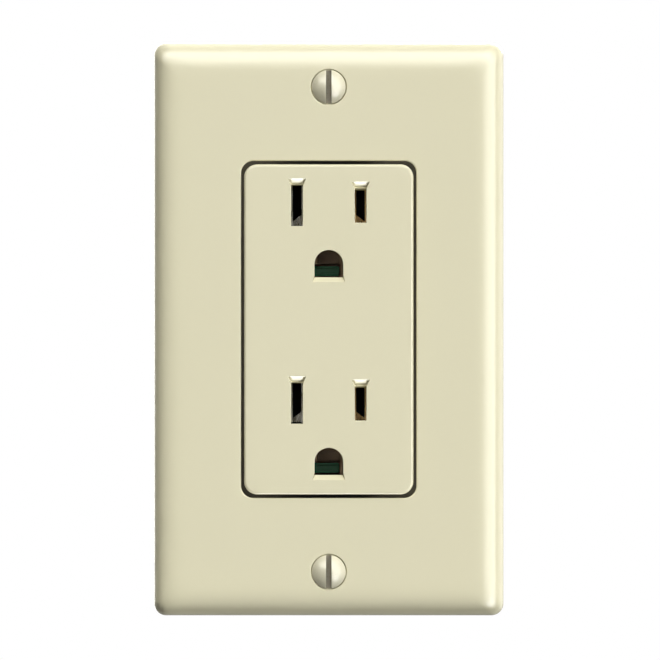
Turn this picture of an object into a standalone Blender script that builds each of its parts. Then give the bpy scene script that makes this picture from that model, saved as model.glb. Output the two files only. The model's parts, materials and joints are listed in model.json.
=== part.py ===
"""Duplex wall outlet with a screw-on wallplate, modelled as its separate pieces.

Metres, +Z up. The plane Y = 0 is the wall's surface, the outlet faces -Y and its body reaches into
the wall box along +Y. The origin is the wallplate's centre on the wall's surface.
"""
import math

import bmesh
import bpy
from mathutils import Vector

MM = 0.001
OBJECT_NAME = "duplex_wall_outlet"

# Clearances
GAP = 0.3 * MM                      # between two pieces that touch
RUNNING_FIT = 0.08 * MM             # around a screw that turns in a hole
THREAD_FIT = 0.12 * MM              # around a screw's thread in its tapped hole
CUTTER_LAP = 0.05 * MM              # keeps a cutter's sides off the sides of an earlier cut
OVER = 1.0 * MM                     # how far a cutter runs past the surface it opens
LAP = 0.2 * MM                      # overlap of two parts of one piece, which are joined
RIVET_FIT = 0.15 * MM               # round a rivet's shank

# Wallplate
PLATE_WIDTH = 69.85 * MM
PLATE_HEIGHT = 114.3 * MM
PLATE_DEPTH = 5.6 * MM
PLATE_CORNER = 2.4 * MM
PLATE_SOFT_CORNER = 2.6 * MM        # corner radius where the rounded edge meets the flat front
PLATE_RIM = 1.4 * MM                # straight side between the wall and the rounded edge
PLATE_ROUNDING = 6.3 * MM           # width of the rounded edge, seen from the front
PLATE_EDGE_POWER = 3.0              # 2 makes the edge's section a quarter ellipse, more makes it fuller
PLATE_WALL = 2.2 * MM
PLATE_SIDE_WALL = 2.0 * MM
PLATE_HOLLOW_EASE = 0.8 * MM        # how much smaller the hollow's corners and roundings are
WINDOW_WIDTH = 35.0 * MM
WINDOW_HEIGHT = 67.3 * MM
WINDOW_CORNER = 2.4 * MM
PLATE_SCREW_SPACING = 96.84 * MM
PLATE_BOSS_RADIUS = 3.2 * MM
PLATE_BOSS_BACK = -1.6 * MM         # the boss ends just in front of the strap

# Receptacle face and outlets
FACE_WIDTH = 33.8 * MM
FACE_HEIGHT = 65.9 * MM
FACE_PROUD = 0.8 * MM               # the face stands this far out of the wallplate
FACE_FRONT = -(PLATE_DEPTH + FACE_PROUD)
FACE_BACK = 5.0 * MM
FACE_CORNER = 2.6 * MM
FACE_EDGE = 0.5 * MM
FACE_WALL = 3.0 * MM
FACE_SIDE_WALL = 1.9 * MM
OUTLET_PITCH = 39.5 * MM
BLADE_RISE = 5.15 * MM              # blade slots above the outlet's centre
BLADE_SPACING = 12.7 * MM
GROUND_DROP = 11.89 * MM            # ground pin below the line of the blades
SLOT_WIDTH = 2.3 * MM
SLOT_HEIGHT = {"hot": 7.2 * MM, "neutral": 8.5 * MM}
BLADE_HEIGHT = {"hot": 6.5 * MM, "neutral": 8.1 * MM}   # clear of the ramp over the blade
RAMP_DEPTH = 3.6 * MM               # from the face's front to the foot of the ramp
LEAD_IN = 1.0 * MM                  # bevel over each slot
LEAD_IN_WIDTH = 4.0 * MM
GROUND_RADIUS = 2.85 * MM
GROUND_FLAT = 2.6 * MM              # from the ground pin's axis down to the hole's flat side
GROUND_BEVEL_SPREAD = 0.55 * MM     # how far the bevel under the ground hole widens to each side
TOWER_WALL = 1.3 * MM
BOSS_RADIUS = 2.6 * MM              # bosses for the assembly screws
BOSS_HOLE_RADIUS = 1.35 * MM
BOSS_ROOF = 0.6 * MM                # left over the hole's end, behind the face's wall
HOLLOW_CORNER = 1.2 * MM

# Back body
BODY_WIDTH = 33.8 * MM
BODY_HEIGHT = 68.4 * MM             # a little taller than the wallplate's window
BODY_FRONT = FACE_BACK + GAP
BODY_BACK = 24.0 * MM
BODY_CORNER = 1.5 * MM
FLANGE_WIDTH = 36.0 * MM            # the flange closes the gap between the face and the wallplate
FLANGE_THICKNESS = 1.3 * MM
CHANNEL_FLOOR = 19.0 * MM
CHANNEL_INNER = 4.4 * MM
CHANNEL_OUTER = 9.4 * MM
CHANNEL_LOW = -20.5 * MM
CHANNEL_HIGH = 30.3 * MM
GROUND_CELL_HALF = 3.7 * MM
GROUND_CELL_FLOOR = 18.3 * MM
GROUND_CELL_BELOW = 3.4 * MM
GROUND_CELL_ABOVE = 9.4 * MM
RECESS_FLOOR = 12.6 * MM            # distance of the terminal recess's floor from the middle
RECESS_HALF_HEIGHT = 17.0 * MM
RECESS_FRONT = 6.6 * MM
RECESS_BACK = 19.4 * MM
BRIDGE_SLOT_DEPTHS = (8.8 * MM, 17.2 * MM)
HOLE_SLACK = 0.2 * MM               # round the shanks that pass through the body
GROUND_POCKET_RADIUS = 2.6 * MM
GROUND_POCKET_DEPTH = 2.7 * MM

# Strap
STRAP_THICKNESS = 1.3 * MM
STRAP_LENGTH = 106.4 * MM
STRAP_WIDTH = 19.0 * MM
STRAP_BEND = 1.65 * MM              # bend radius at the middle of the sheet
EAR_REACH = 21.0 * MM
EAR_LOW = 43.4 * MM
EAR_HIGH = 52.2 * MM
EAR_CORNER = 2.6 * MM
EAR_HOLE_RADIUS = 1.9 * MM
EAR_HOLE_X = 15.6 * MM
SCORE_WIDTH = 0.8 * MM
SCORE_DEPTH = 0.5 * MM
SCORE_LENGTH = 14.0 * MM
MOUNTING_SPACING = 83.34 * MM
MOUNTING_SLOT = (8.5 * MM, 3.9 * MM)
SLOT_END_EASE = 0.01 * MM           # keeps a slot's two end arcs apart
GROUND_TAB_X = -17.9 * MM           # middle of the tab's sheet
GROUND_TAB_FRONT = 8.0 * MM
GROUND_TAB_BACK = 17.0 * MM
GROUND_TAB_TOP = -20.8 * MM

# Contacts
SHEET = 0.9 * MM
LEAF = 0.6 * MM
LEAF_GAP = 1.7 * MM                 # between the two leaves that grip a blade
LEAF_FRONT = 5.8 * MM
CLIP_FLOOR = 14.5 * MM
CLIP_HALF_HEIGHT = 4.0 * MM
CLIP_WEB = (2.1 * MM, 0.8 * MM)     # height of the web between a clip's leaves: inner and outer side
RAIL_X = 8.2 * MM
RAIL_LOW = -19.5 * MM
RAIL_HIGH = 29.4 * MM
RAIL_DEPTHS = (12.4 * MM, 17.8 * MM)
PAD_X = 12.9 * MM
PAD_OUTER = PAD_X + SHEET
PAD_HALF_HEIGHT = 5.1 * MM
PAD_DEPTHS = (8.0 * MM, 18.0 * MM)
BRIDGE_OFFSET = 4.2 * MM            # from the terminal screw's axis to the bridge
BRIDGE_DEPTHS = (9.5 * MM, 16.5 * MM)
FIN_DEPTHS = (10.6 * MM, 15.4 * MM)
FIN_INSET = 0.1 * MM                # the break-off fin is thinner than the pads
FIN_HOLE_RADIUS = 1.2 * MM
GROUND_LEAF_GAP = 4.5 * MM
GROUND_LEAF_HALF_HEIGHT = 2.6 * MM
GROUND_BASE = 17.2 * MM
GROUND_BASE_THICKNESS = 0.8 * MM
GROUND_BASE_RISE = 2.7 * MM         # base above the rivet's axis
SPACER_FRONT = 14.7 * MM            # just beyond the reach of a plug's pin
SPACER_SIDES = (-3.3 * MM, 2.1 * MM)
SPACER_BELOW = (2.3 * MM, 0.3 * MM)  # from the pin's axis down to the spacer's two edges
SPACER_CORNER = 0.3 * MM
SPACER_RIB = 0.5 * MM               # the spacer's front has a rib along its top and its bottom
SPACER_GROOVE = 1.1 * MM            # depth of the groove between them
RIVET_RISE = 6.2 * MM               # rivet above the ground pin's axis

# Terminals
TERMINAL_Y = 13.0 * MM
TERMINAL_Z = 9.9 * MM
TERMINAL_SHANK_RADIUS = 2.05 * MM
TERMINAL_LENGTH = 5.7 * MM
TERMINAL_HEAD_RADIUS = 4.1 * MM
TERMINAL_HEAD_HEIGHT = 2.3 * MM
CLAMP_THICKNESS = 1.0 * MM
CLAMP_SIZE = (8.4 * MM, 9.2 * MM)
CLAMP_CORNER = 0.6 * MM
CLAMP_GROOVE_RADIUS = 0.45 * MM
TERMINAL_DRUM_INSET = 0.8 * MM      # from the washer's rim to the drum of a terminal screw
TERMINAL_WASHER = (0.7 * MM, 0.6 * MM)  # height at the drum and at the rim
TERMINAL_POINT = 0.4 * MM
TERMINAL_SLOT = (1.4 * MM, 1.1 * MM)    # depth and width of the driver slot
TERMINAL_CROSS = 3.8 * MM
TERMINAL_HOLE_SLACK = 0.3 * MM
GROUND_WASHER = (0.7 * MM, 0.5 * MM)
GROUND_HEX_RADIUS = 3.6 * MM
GROUND_SLOT_DEPTH = 1.2 * MM
GROUND_SCREW_Y = 12.5 * MM
GROUND_SCREW_Z = -25.6 * MM
GROUND_SCREW_LENGTH = 5.6 * MM
WIRE_HOLE_RADIUS = 1.25 * MM
WIRE_HOLE_X = 14.9 * MM
WIRE_HOLE_OFFSET = 3.4 * MM

# Small screws, washers and rivets
PLATE_SCREW_HEAD_RADIUS = 3.38 * MM
PLATE_SCREW_CROWN = 1.15 * MM
PLATE_SCREW_CONE = 2.15 * MM
PLATE_SCREW_LENGTH = 12.7 * MM
PLATE_SCREW_SLOT = (1.3 * MM, 1.05 * MM)
PLATE_SCREW_POINT = 0.6 * MM
SMALL_SHANK_RADIUS = 1.725 * MM
ACROSS_HEAD = 9.0 * MM              # longer than any slotted head is wide
MOUNTING_HEAD_RADIUS = 3.2 * MM
MOUNTING_HEAD_HEIGHT = 1.6 * MM
MOUNTING_SCREW_LENGTH = 23.5 * MM
MOUNTING_HEAD_RIM = 0.5 * MM
MOUNTING_POINT = 0.8 * MM
MOUNTING_SLOT_CUT = (1.0 * MM, 0.9 * MM)
MOUNTING_CROSS = 3.2 * MM
RETAINER_SIZE = (8.4 * MM, 6.4 * MM)
RETAINER_THICKNESS = 0.6 * MM
RETAINER_CORNER = 1.0 * MM
ASSEMBLY_X = 12.5 * MM
ASSEMBLY_Z = 29.6 * MM
ASSEMBLY_SHANK_RADIUS = 1.2 * MM
ASSEMBLY_HEAD_RADIUS = 2.3 * MM
ASSEMBLY_HEAD_RIM = 0.4 * MM
ASSEMBLY_CROWN = 0.9 * MM
ASSEMBLY_TIP_GAP = 1.0 * MM         # from the face's wall to the tip, and the length of the point
ASSEMBLY_SLOT = (0.7 * MM, 0.6 * MM)
ASSEMBLY_CROSS = 2.6 * MM
RIVET_SHANK_RADIUS = 1.3 * MM
RIVET_HEAD_RADIUS = 2.3 * MM
RIVET_HEAD_HEIGHT = 1.1 * MM
RIVET_UPSET = (0.2 * MM, 0.4 * MM, 0.8 * MM)    # the closed end: two insets from the head, and its height
CLIP_SHEET = 0.4 * MM
CLIP_HALF_WIDTH = 5.0 * MM
CLIP_FAR = 1.6 * MM                 # middle of the spring part, behind the strap
CLIP_BENDS = (37.0 * MM, 37.7 * MM, 38.4 * MM)  # lower end, and the start and end of the step back
CLIP_BEND_RADIUS = 0.25 * MM
CLIP_ABOVE_SLOT = 4.4 * MM
CLIP_SLOT_WIDTH = 8.0 * MM

# Derived places
BLADE_LINES = {
    "upper": OUTLET_PITCH / 2 + BLADE_RISE,
    "lower": -OUTLET_PITCH / 2 + BLADE_RISE,
}
GROUND_PINS = {name: z - GROUND_DROP for name, z in BLADE_LINES.items()}
ENDS = {"upper": 1, "lower": -1}
SIDES = {"hot": 1, "neutral": -1}
SPINE_FRONT = BODY_BACK + GAP
SPINE_BACK = SPINE_FRONT + STRAP_THICKNESS
LEG_INNER = BODY_HEIGHT / 2 + GAP

MATERIALS = {
    "ivory_plate": ((0.723, 0.686, 0.497), 0.34, 0.0),
    "ivory_face": ((0.723, 0.686, 0.497), 0.36, 0.0),
    "ivory_screw": ((0.74, 0.70, 0.52), 0.32, 0.0),
    "dark_body": ((0.035, 0.033, 0.033), 0.55, 0.0),
    "zinc_steel": ((0.55, 0.56, 0.56), 0.38, 1.0),
    "brass": ((0.70, 0.50, 0.24), 0.30, 1.0),
    "nickel": ((0.62, 0.61, 0.57), 0.28, 1.0),
    "green_nylon": ((0.03, 0.22, 0.08), 0.45, 0.0),
    "green_screw": ((0.03, 0.20, 0.08), 0.35, 0.6),
    "fibre": ((0.42, 0.10, 0.05), 0.80, 0.0),
}


# ---------------------------------------------------------------- scene


def clear_scene():
    """Remove every object of the startup scene."""
    for obj in list(bpy.data.objects):
        bpy.data.objects.remove(obj, do_unlink=True)


def new_collection(name):
    """A new collection, linked to the scene."""
    made = bpy.data.collections.new(name)
    bpy.context.scene.collection.children.link(made)
    return made


def new_material(name, colour, roughness, metallic):
    """A Principled material."""
    made = bpy.data.materials.new(name)
    made.use_nodes = True
    shader = made.node_tree.nodes["Principled BSDF"]
    shader.inputs["Base Color"].default_value = (*colour, 1.0)
    shader.inputs["Roughness"].default_value = roughness
    shader.inputs["Metallic"].default_value = metallic
    made.diffuse_color = (*colour, 1.0)
    return made


def add_object(name, mesh):
    """A new object in the tool collection; finish() moves the real pieces out of it."""
    obj = bpy.data.objects.new(name, mesh)
    bpy.data.collections["tools"].objects.link(obj)
    obj.hide_render = True
    obj.display_type = "WIRE"
    return obj


def object_from(bm, name):
    """An object that holds a bmesh."""
    bmesh.ops.recalc_face_normals(bm, faces=bm.faces)
    mesh = bpy.data.meshes.new(name)
    bm.to_mesh(mesh)
    bm.free()
    return add_object(name, mesh)


def finish(obj, material):
    """Make an object one of the outlet's pieces."""
    bpy.data.collections["tools"].objects.unlink(obj)
    bpy.data.collections[OBJECT_NAME].objects.link(obj)
    obj.hide_render = False
    obj.display_type = "TEXTURED"
    obj.data.materials.clear()
    own = bpy.data.materials[material].copy()
    own.name = f"{obj.name}_{material}"
    obj.data.materials.append(own)
    return obj


# ---------------------------------------------------------------- shapes


def block(name, low, high, radius=0.0, along=1, steps=4, front_edge=0.0):
    """A box between two corners.

    radius rounds the four edges that run along the axis `along`, and front_edge then rounds the edges
    of its -Y face.
    """
    bm = bmesh.new()
    bmesh.ops.create_cube(bm, size=1.0)
    low, high = Vector(low), Vector(high)
    for vert in bm.verts:
        share = vert.co + Vector((0.5, 0.5, 0.5))
        vert.co = low + share * (high - low)
    if radius:
        corners = [e for e in bm.edges if abs((e.verts[0].co - e.verts[1].co).normalized()[along]) > 0.9]
        bmesh.ops.bevel(bm, geom=corners, offset=radius, segments=steps, profile=0.5, affect="EDGES")
    if front_edge:
        rim = [e for e in bm.edges if all(abs(v.co.y - low.y) < 1e-7 for v in e.verts)]
        bmesh.ops.bevel(bm, geom=rim, offset=front_edge, segments=3, profile=0.5, affect="EDGES")
    return object_from(bm, name)


def centred_block(name, centre, size, **options):
    """A box of a given size around a centre."""
    centre, half = Vector(centre), Vector(size) / 2
    return block(name, centre - half, centre + half, **options)


def rod(name, start, end, radius, steps=24):
    """A cylinder between two points."""
    start, end = Vector(start), Vector(end)
    bm = bmesh.new()
    bmesh.ops.create_cone(
        bm, cap_ends=True, segments=steps, radius1=radius, radius2=radius, depth=(end - start).length
    )
    turn = Vector((0, 0, 1)).rotation_difference(end - start).to_matrix().to_4x4()
    bmesh.ops.transform(bm, matrix=turn, verts=bm.verts)
    bmesh.ops.translate(bm, vec=(start + end) / 2, verts=bm.verts)
    return object_from(bm, name)


def turned(name, profile, seat, outward, steps=32):
    """A turned piece: (radius, height) pairs from its outer end inwards, heights above the seat."""
    mesh = bpy.data.meshes.new(name)
    points = [(radius, 0, height) for radius, height in profile]
    mesh.from_pydata(points, [(i, i + 1) for i in range(len(points) - 1)], [])
    obj = add_object(name, mesh)
    obj.location = seat
    obj.rotation_mode = "QUATERNION"
    obj.rotation_quaternion = Vector((0, 0, 1)).rotation_difference(Vector(outward))
    turn = obj.modifiers.new("turn", "SCREW")
    turn.axis = "Z"
    turn.steps = steps
    turn.render_steps = steps
    turn.use_merge_vertices = True
    turn.merge_threshold = 1e-5
    turn.use_smooth_shade = True
    return obj


def extruded(name, outline, low, high, along="Y"):
    """A flat outline extruded along an axis: (x, z) points for Y, or (y, z) points for X."""
    if along == "Y":
        points, reach = [(x, low, z) for x, z in outline], (0, high - low, 0)
    else:
        points, reach = [(low, y, z) for y, z in outline], (high - low, 0, 0)
    bm = bmesh.new()
    face = bm.faces.new([bm.verts.new(point) for point in points])
    moved = bmesh.ops.extrude_face_region(bm, geom=[face])["geom"]
    verts = [item for item in moved if isinstance(item, bmesh.types.BMVert)]
    bmesh.ops.translate(bm, vec=reach, verts=verts)
    return object_from(bm, name)


def lofted(name, rings):
    """A solid skinned over rings of equal point counts, closed by a flat face at each end."""
    bm = bmesh.new()
    loops = [[bm.verts.new(point) for point in ring] for ring in rings]
    for one, two in zip(loops, loops[1:]):
        for i in range(len(one)):
            j = (i + 1) % len(one)
            bm.faces.new((one[i], one[j], two[j], two[i]))
    bmesh.ops.triangulate(bm, faces=bm.faces)
    bm.faces.new(loops[0])
    bm.faces.new(loops[-1])
    return object_from(bm, name)


def bent_sheet(name, stations, thickness):
    """A sheet of metal: pairs of edge points along its length, thickened to both sides."""
    bm = bmesh.new()
    rows = [(bm.verts.new(left), bm.verts.new(right)) for left, right in stations]
    for one, two in zip(rows, rows[1:]):
        bm.faces.new((one[0], one[1], two[1], two[0]))
    obj = object_from(bm, name)
    solid = obj.modifiers.new("sheet", "SOLIDIFY")
    solid.thickness = thickness
    solid.offset = 0.0
    solid.use_even_offset = True
    return obj


def cut(target, *cutters):
    """Subtract other objects from one."""
    return combine(target, cutters, "DIFFERENCE")


def join(target, *others):
    """Add other objects to one."""
    return combine(target, others, "UNION")


def combine(target, others, operation):
    """Give an object one Boolean modifier for each of the others."""
    for other in others:
        step = target.modifiers.new(other.name, "BOOLEAN")
        step.operation = operation
        step.object = other
    return target


# ---------------------------------------------------------------- outlines


def rounded_rectangle(half_width, half_height, radius, y, steps=5):
    """Points round a rectangle with rounded corners, in the plane of one y."""
    points = []
    for corner in range(4):
        sign_x = (1, -1, -1, 1)[corner]
        sign_z = (1, 1, -1, -1)[corner]
        for step in range(steps + 1):
            angle = math.pi / 2 * (corner + step / steps)
            points.append((
                sign_x * (half_width - radius) + radius * math.cos(angle),
                y,
                sign_z * (half_height - radius) + radius * math.sin(angle),
            ))
    return points


def edge_rings(half_width, half_height, corners, rounding, depths, steps=7):
    """Rings up a rounded edge: corners and depths each go from the side to the front."""
    rings = []
    for step in range(steps + 1):
        angle = math.pi / 2 * step / steps
        share = 1 - abs(math.cos(angle)) ** (2 / PLATE_EDGE_POWER)
        rise = math.sin(angle) ** (2 / PLATE_EDGE_POWER)
        corner = corners[0] + (corners[1] - corners[0]) * share
        y = depths[0] + (depths[1] - depths[0]) * rise
        rings.append(rounded_rectangle(
            half_width - rounding * share, half_height - rounding * share, corner, y
        ))
    return rings


def ground_outline(pin_z, half_width, flat, steps=10):
    """The ground hole: an arch over a flat side."""
    arch = [
        (half_width * math.cos(math.pi * i / steps), pin_z + half_width * math.sin(math.pi * i / steps))
        for i in range(steps + 1)
    ]
    return arch + [(-half_width, pin_z - flat), (half_width, pin_z - flat)]


def dome(radius, height, steps=5):
    """(radius, height) pairs down a shallow dome, as far as its rim at height 0."""
    sphere = (radius * radius + height * height) / (2 * height)
    reach = math.asin(radius / sphere)
    return [
        (sphere * math.sin(reach * i / steps), sphere * math.cos(reach * i / steps) - sphere + height)
        for i in range(steps)
    ]


def filleted(points, radius, steps=4):
    """A path of 2D points with an arc of one radius at each inner corner."""
    path = [Vector(points[0])]
    for before, corner, after in zip(points, points[1:], points[2:]):
        before, corner, after = Vector(before), Vector(corner), Vector(after)
        inward, onward = (before - corner).normalized(), (after - corner).normalized()
        half = inward.angle(onward) / 2
        centre = corner + (inward + onward).normalized() * radius / math.sin(half)
        first = corner + inward * radius / math.tan(half) - centre
        last = corner + onward * radius / math.tan(half) - centre
        sweep = first.angle_signed(last)
        for step in range(steps + 1):
            angle = -sweep * step / steps
            turned_by = Vector((
                first.x * math.cos(angle) - first.y * math.sin(angle),
                first.x * math.sin(angle) + first.y * math.cos(angle),
            ))
            path.append(centre + turned_by)
    return path + [Vector(points[-1])]


# ---------------------------------------------------------------- screws


def screw_head_cuts(name, seat, outward, top, slot, length=ACROSS_HEAD, cross=0.0):
    """A driver slot of one (depth, width), and with cross a second one across it, in a screw's head."""
    seat, outward = Vector(seat), Vector(outward)
    depth, width = slot
    floor, above = seat + outward * (top - depth), seat + outward * (top + GAP)
    side = Vector((0, 0, 1))
    other = outward.cross(side)
    cutters = []
    for direction, flank, reach in ((side, other, length), (other, side, cross)):
        if reach:
            half = direction * reach / 2 + flank * width / 2
            corners = (floor - half, above + half)
            low = [min(a, b) for a, b in zip(*corners)]
            high = [max(a, b) for a, b in zip(*corners)]
            cutters.append(block(f"{name}_slot", low, high))
    return cutters


def make_plate_screw(end, sign):
    """Oval-head screw that holds the wallplate to the strap."""
    name = f"plate_screw_{end}"
    seat = (0, -PLATE_DEPTH, sign * PLATE_SCREW_SPACING / 2)
    tip = -PLATE_SCREW_LENGTH
    profile = dome(PLATE_SCREW_HEAD_RADIUS, PLATE_SCREW_CROWN) + [
        (PLATE_SCREW_HEAD_RADIUS, 0),
        (SMALL_SHANK_RADIUS, -PLATE_SCREW_CONE),
        (SMALL_SHANK_RADIUS, tip + PLATE_SCREW_POINT),
        (SMALL_SHANK_RADIUS - PLATE_SCREW_POINT, tip),
        (0, tip),
    ]
    screw = turned(name, profile, seat, (0, -1, 0))
    slots = screw_head_cuts(name, seat, (0, -1, 0), PLATE_SCREW_CROWN, PLATE_SCREW_SLOT)
    return finish(cut(screw, *slots), "ivory_screw")


def make_terminal_screw(side, sign_x, end, sign_z):
    """Washer-head screw that closes a terminal's clamp."""
    name = f"terminal_screw_{side}_{end}"
    outward = (sign_x, 0, 0)
    seat = (sign_x * (PAD_OUTER + CLAMP_THICKNESS + 2 * GAP), TERMINAL_Y, sign_z * TERMINAL_Z)
    drum = TERMINAL_HEAD_RADIUS - TERMINAL_DRUM_INSET
    profile = [
        (0, TERMINAL_HEAD_HEIGHT),
        (drum - GAP, TERMINAL_HEAD_HEIGHT),
        (drum, TERMINAL_HEAD_HEIGHT - GAP),
        (drum, TERMINAL_WASHER[0]),
        (TERMINAL_HEAD_RADIUS, TERMINAL_WASHER[1]),
        (TERMINAL_HEAD_RADIUS, 0),
        (TERMINAL_SHANK_RADIUS, 0),
        (TERMINAL_SHANK_RADIUS, -TERMINAL_LENGTH + TERMINAL_POINT),
        (TERMINAL_SHANK_RADIUS - TERMINAL_POINT, -TERMINAL_LENGTH),
        (0, -TERMINAL_LENGTH),
    ]
    screw = turned(name, profile, seat, outward, steps=24)
    slots = screw_head_cuts(name, seat, outward, TERMINAL_HEAD_HEIGHT, TERMINAL_SLOT, cross=TERMINAL_CROSS)
    return finish(cut(screw, *slots), "brass" if side == "hot" else "nickel")


def make_mounting_screw(end, sign):
    """Pan-head screw that fixes the strap to the wall box."""
    name = f"mounting_screw_{end}"
    seat = (0, -STRAP_THICKNESS - GAP / 2, sign * MOUNTING_SPACING / 2)
    tip = -MOUNTING_SCREW_LENGTH
    rim = MOUNTING_HEAD_RIM
    crown = [(r, h + rim) for r, h in dome(MOUNTING_HEAD_RADIUS, MOUNTING_HEAD_HEIGHT - rim)]
    profile = crown + [
        (MOUNTING_HEAD_RADIUS, rim),
        (MOUNTING_HEAD_RADIUS, 0),
        (SMALL_SHANK_RADIUS, 0),
        (SMALL_SHANK_RADIUS, tip + MOUNTING_POINT),
        (SMALL_SHANK_RADIUS - MOUNTING_POINT, tip),
        (0, tip),
    ]
    screw = turned(name, profile, seat, (0, -1, 0), steps=24)
    slots = screw_head_cuts(
        name, seat, (0, -1, 0), MOUNTING_HEAD_HEIGHT, MOUNTING_SLOT_CUT, cross=MOUNTING_CROSS
    )
    return finish(cut(screw, *slots), "zinc_steel")


def make_ground_screw():
    """Green hexagonal washer-head screw on the strap's ground tab."""
    name = "ground_screw"
    clamp_face = GROUND_TAB_X - STRAP_THICKNESS / 2 - 2 * GAP - CLAMP_THICKNESS
    seat = (clamp_face, GROUND_SCREW_Y, GROUND_SCREW_Z)
    profile = [
        (0, GROUND_WASHER[0]),
        (TERMINAL_HEAD_RADIUS - LAP, GROUND_WASHER[0]),
        (TERMINAL_HEAD_RADIUS, GROUND_WASHER[1]),
        (TERMINAL_HEAD_RADIUS, 0),
        (TERMINAL_SHANK_RADIUS, 0),
        (TERMINAL_SHANK_RADIUS, -GROUND_SCREW_LENGTH + TERMINAL_POINT),
        (TERMINAL_SHANK_RADIUS - TERMINAL_POINT, -GROUND_SCREW_LENGTH),
        (0, -GROUND_SCREW_LENGTH),
    ]
    screw = turned(name, profile, seat, (-1, 0, 0), steps=24)
    hexagon = rod(
        "hexagon",
        (seat[0] - LAP, seat[1], seat[2]),
        (seat[0] - TERMINAL_HEAD_HEIGHT, seat[1], seat[2]),
        GROUND_HEX_RADIUS,
        steps=6,
    )
    slots = screw_head_cuts(
        name, seat, (-1, 0, 0), TERMINAL_HEAD_HEIGHT, (GROUND_SLOT_DEPTH, TERMINAL_SLOT[1])
    )
    join(screw, hexagon)
    return finish(cut(screw, *slots), "green_screw")


def make_assembly_screw(side, sign_x, end, sign_z):
    """Small screw from the back of the body into a boss of the face."""
    name = f"assembly_screw_{end}_{side}"
    seat = (sign_x * ASSEMBLY_X, BODY_BACK + GAP, sign_z * ASSEMBLY_Z)
    tip = -(seat[1] - FACE_FRONT - FACE_WALL - ASSEMBLY_TIP_GAP)
    rim = ASSEMBLY_HEAD_RIM
    crown = [(r, h + rim) for r, h in dome(ASSEMBLY_HEAD_RADIUS, ASSEMBLY_CROWN, steps=3)]
    profile = crown + [
        (ASSEMBLY_HEAD_RADIUS, rim),
        (ASSEMBLY_HEAD_RADIUS, 0),
        (ASSEMBLY_SHANK_RADIUS, 0),
        (ASSEMBLY_SHANK_RADIUS, tip + ASSEMBLY_TIP_GAP),
        (0, tip),
    ]
    screw = turned(name, profile, seat, (0, 1, 0), steps=12)
    slots = screw_head_cuts(
        name, seat, (0, 1, 0), rim + ASSEMBLY_CROWN, ASSEMBLY_SLOT, ASSEMBLY_CROSS, ASSEMBLY_CROSS
    )
    return finish(cut(screw, *slots), "zinc_steel")


def make_rivet(end, pin_z):
    """Rivet that holds a ground contact to the strap's spine through the body."""
    inner_face = GROUND_BASE - GAP
    outer_face = SPINE_BACK + GAP
    length = outer_face - inner_face
    shoulder, button, height = RIVET_UPSET
    profile = dome(RIVET_HEAD_RADIUS, RIVET_HEAD_HEIGHT, steps=4) + [
        (RIVET_HEAD_RADIUS, 0),
        (RIVET_SHANK_RADIUS, 0),
        (RIVET_SHANK_RADIUS, -length),
        (RIVET_HEAD_RADIUS - shoulder, -length),
        (RIVET_HEAD_RADIUS - button, -length - height),
        (0, -length - height),
    ]
    seat = (0, outer_face, pin_z + RIVET_RISE)
    return finish(turned(f"ground_rivet_{end}", profile, seat, (0, 1, 0), steps=20), "zinc_steel")


# ---------------------------------------------------------------- wallplate


def make_wallplate():
    """Hollow wallplate with a window for the face and two countersunk screw bosses."""
    half_width, half_height = PLATE_WIDTH / 2, PLATE_HEIGHT / 2
    outside = [rounded_rectangle(half_width, half_height, PLATE_CORNER, 0)] + edge_rings(
        half_width, half_height, (PLATE_CORNER, PLATE_SOFT_CORNER), PLATE_ROUNDING,
        (-PLATE_RIM, -PLATE_DEPTH),
    )
    plate = lofted("wallplate", outside)
    core_width, core_height = half_width - PLATE_SIDE_WALL, half_height - PLATE_SIDE_WALL
    ease = PLATE_HOLLOW_EASE
    core_corner = (PLATE_CORNER - ease, PLATE_SOFT_CORNER)
    inside = [rounded_rectangle(core_width, core_height, core_corner[0], OVER)] + edge_rings(
        core_width, core_height, core_corner, PLATE_ROUNDING - ease,
        (-PLATE_RIM + ease, -PLATE_DEPTH + PLATE_WALL), steps=5,
    )
    cut(plate, lofted("plate_core", inside))
    for sign in ENDS.values():
        z = sign * PLATE_SCREW_SPACING / 2
        join(plate, rod(
            "plate_boss", (0, -PLATE_DEPTH + PLATE_WALL / 2, z), (0, PLATE_BOSS_BACK, z), PLATE_BOSS_RADIUS
        ))
        cut(plate, countersink(z))
    window = centred_block(
        "window", (0, -PLATE_DEPTH / 2, 0), (WINDOW_WIDTH, 4 * PLATE_DEPTH, WINDOW_HEIGHT),
        radius=WINDOW_CORNER, steps=5,
    )
    cut(plate, window)
    return finish(plate, "ivory_plate")


def countersink(z):
    """Cutter for a plate screw's countersunk hole."""
    widest = PLATE_SCREW_HEAD_RADIUS + HOLE_SLACK
    narrow = SMALL_SHANK_RADIUS + HOLE_SLACK
    profile = [
        (0, OVER),
        (widest, OVER),
        (widest, 0),
        (narrow, -PLATE_SCREW_CONE),
        (narrow, -2 * PLATE_DEPTH),
        (0, -2 * PLATE_DEPTH),
    ]
    return turned("countersink", profile, (0, -PLATE_DEPTH, z), (0, -1, 0))


# ---------------------------------------------------------------- receptacle face


def blade_x(side):
    """Middle of a blade slot: hot to +X, neutral to -X."""
    return SIDES[side] * BLADE_SPACING / 2


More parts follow.
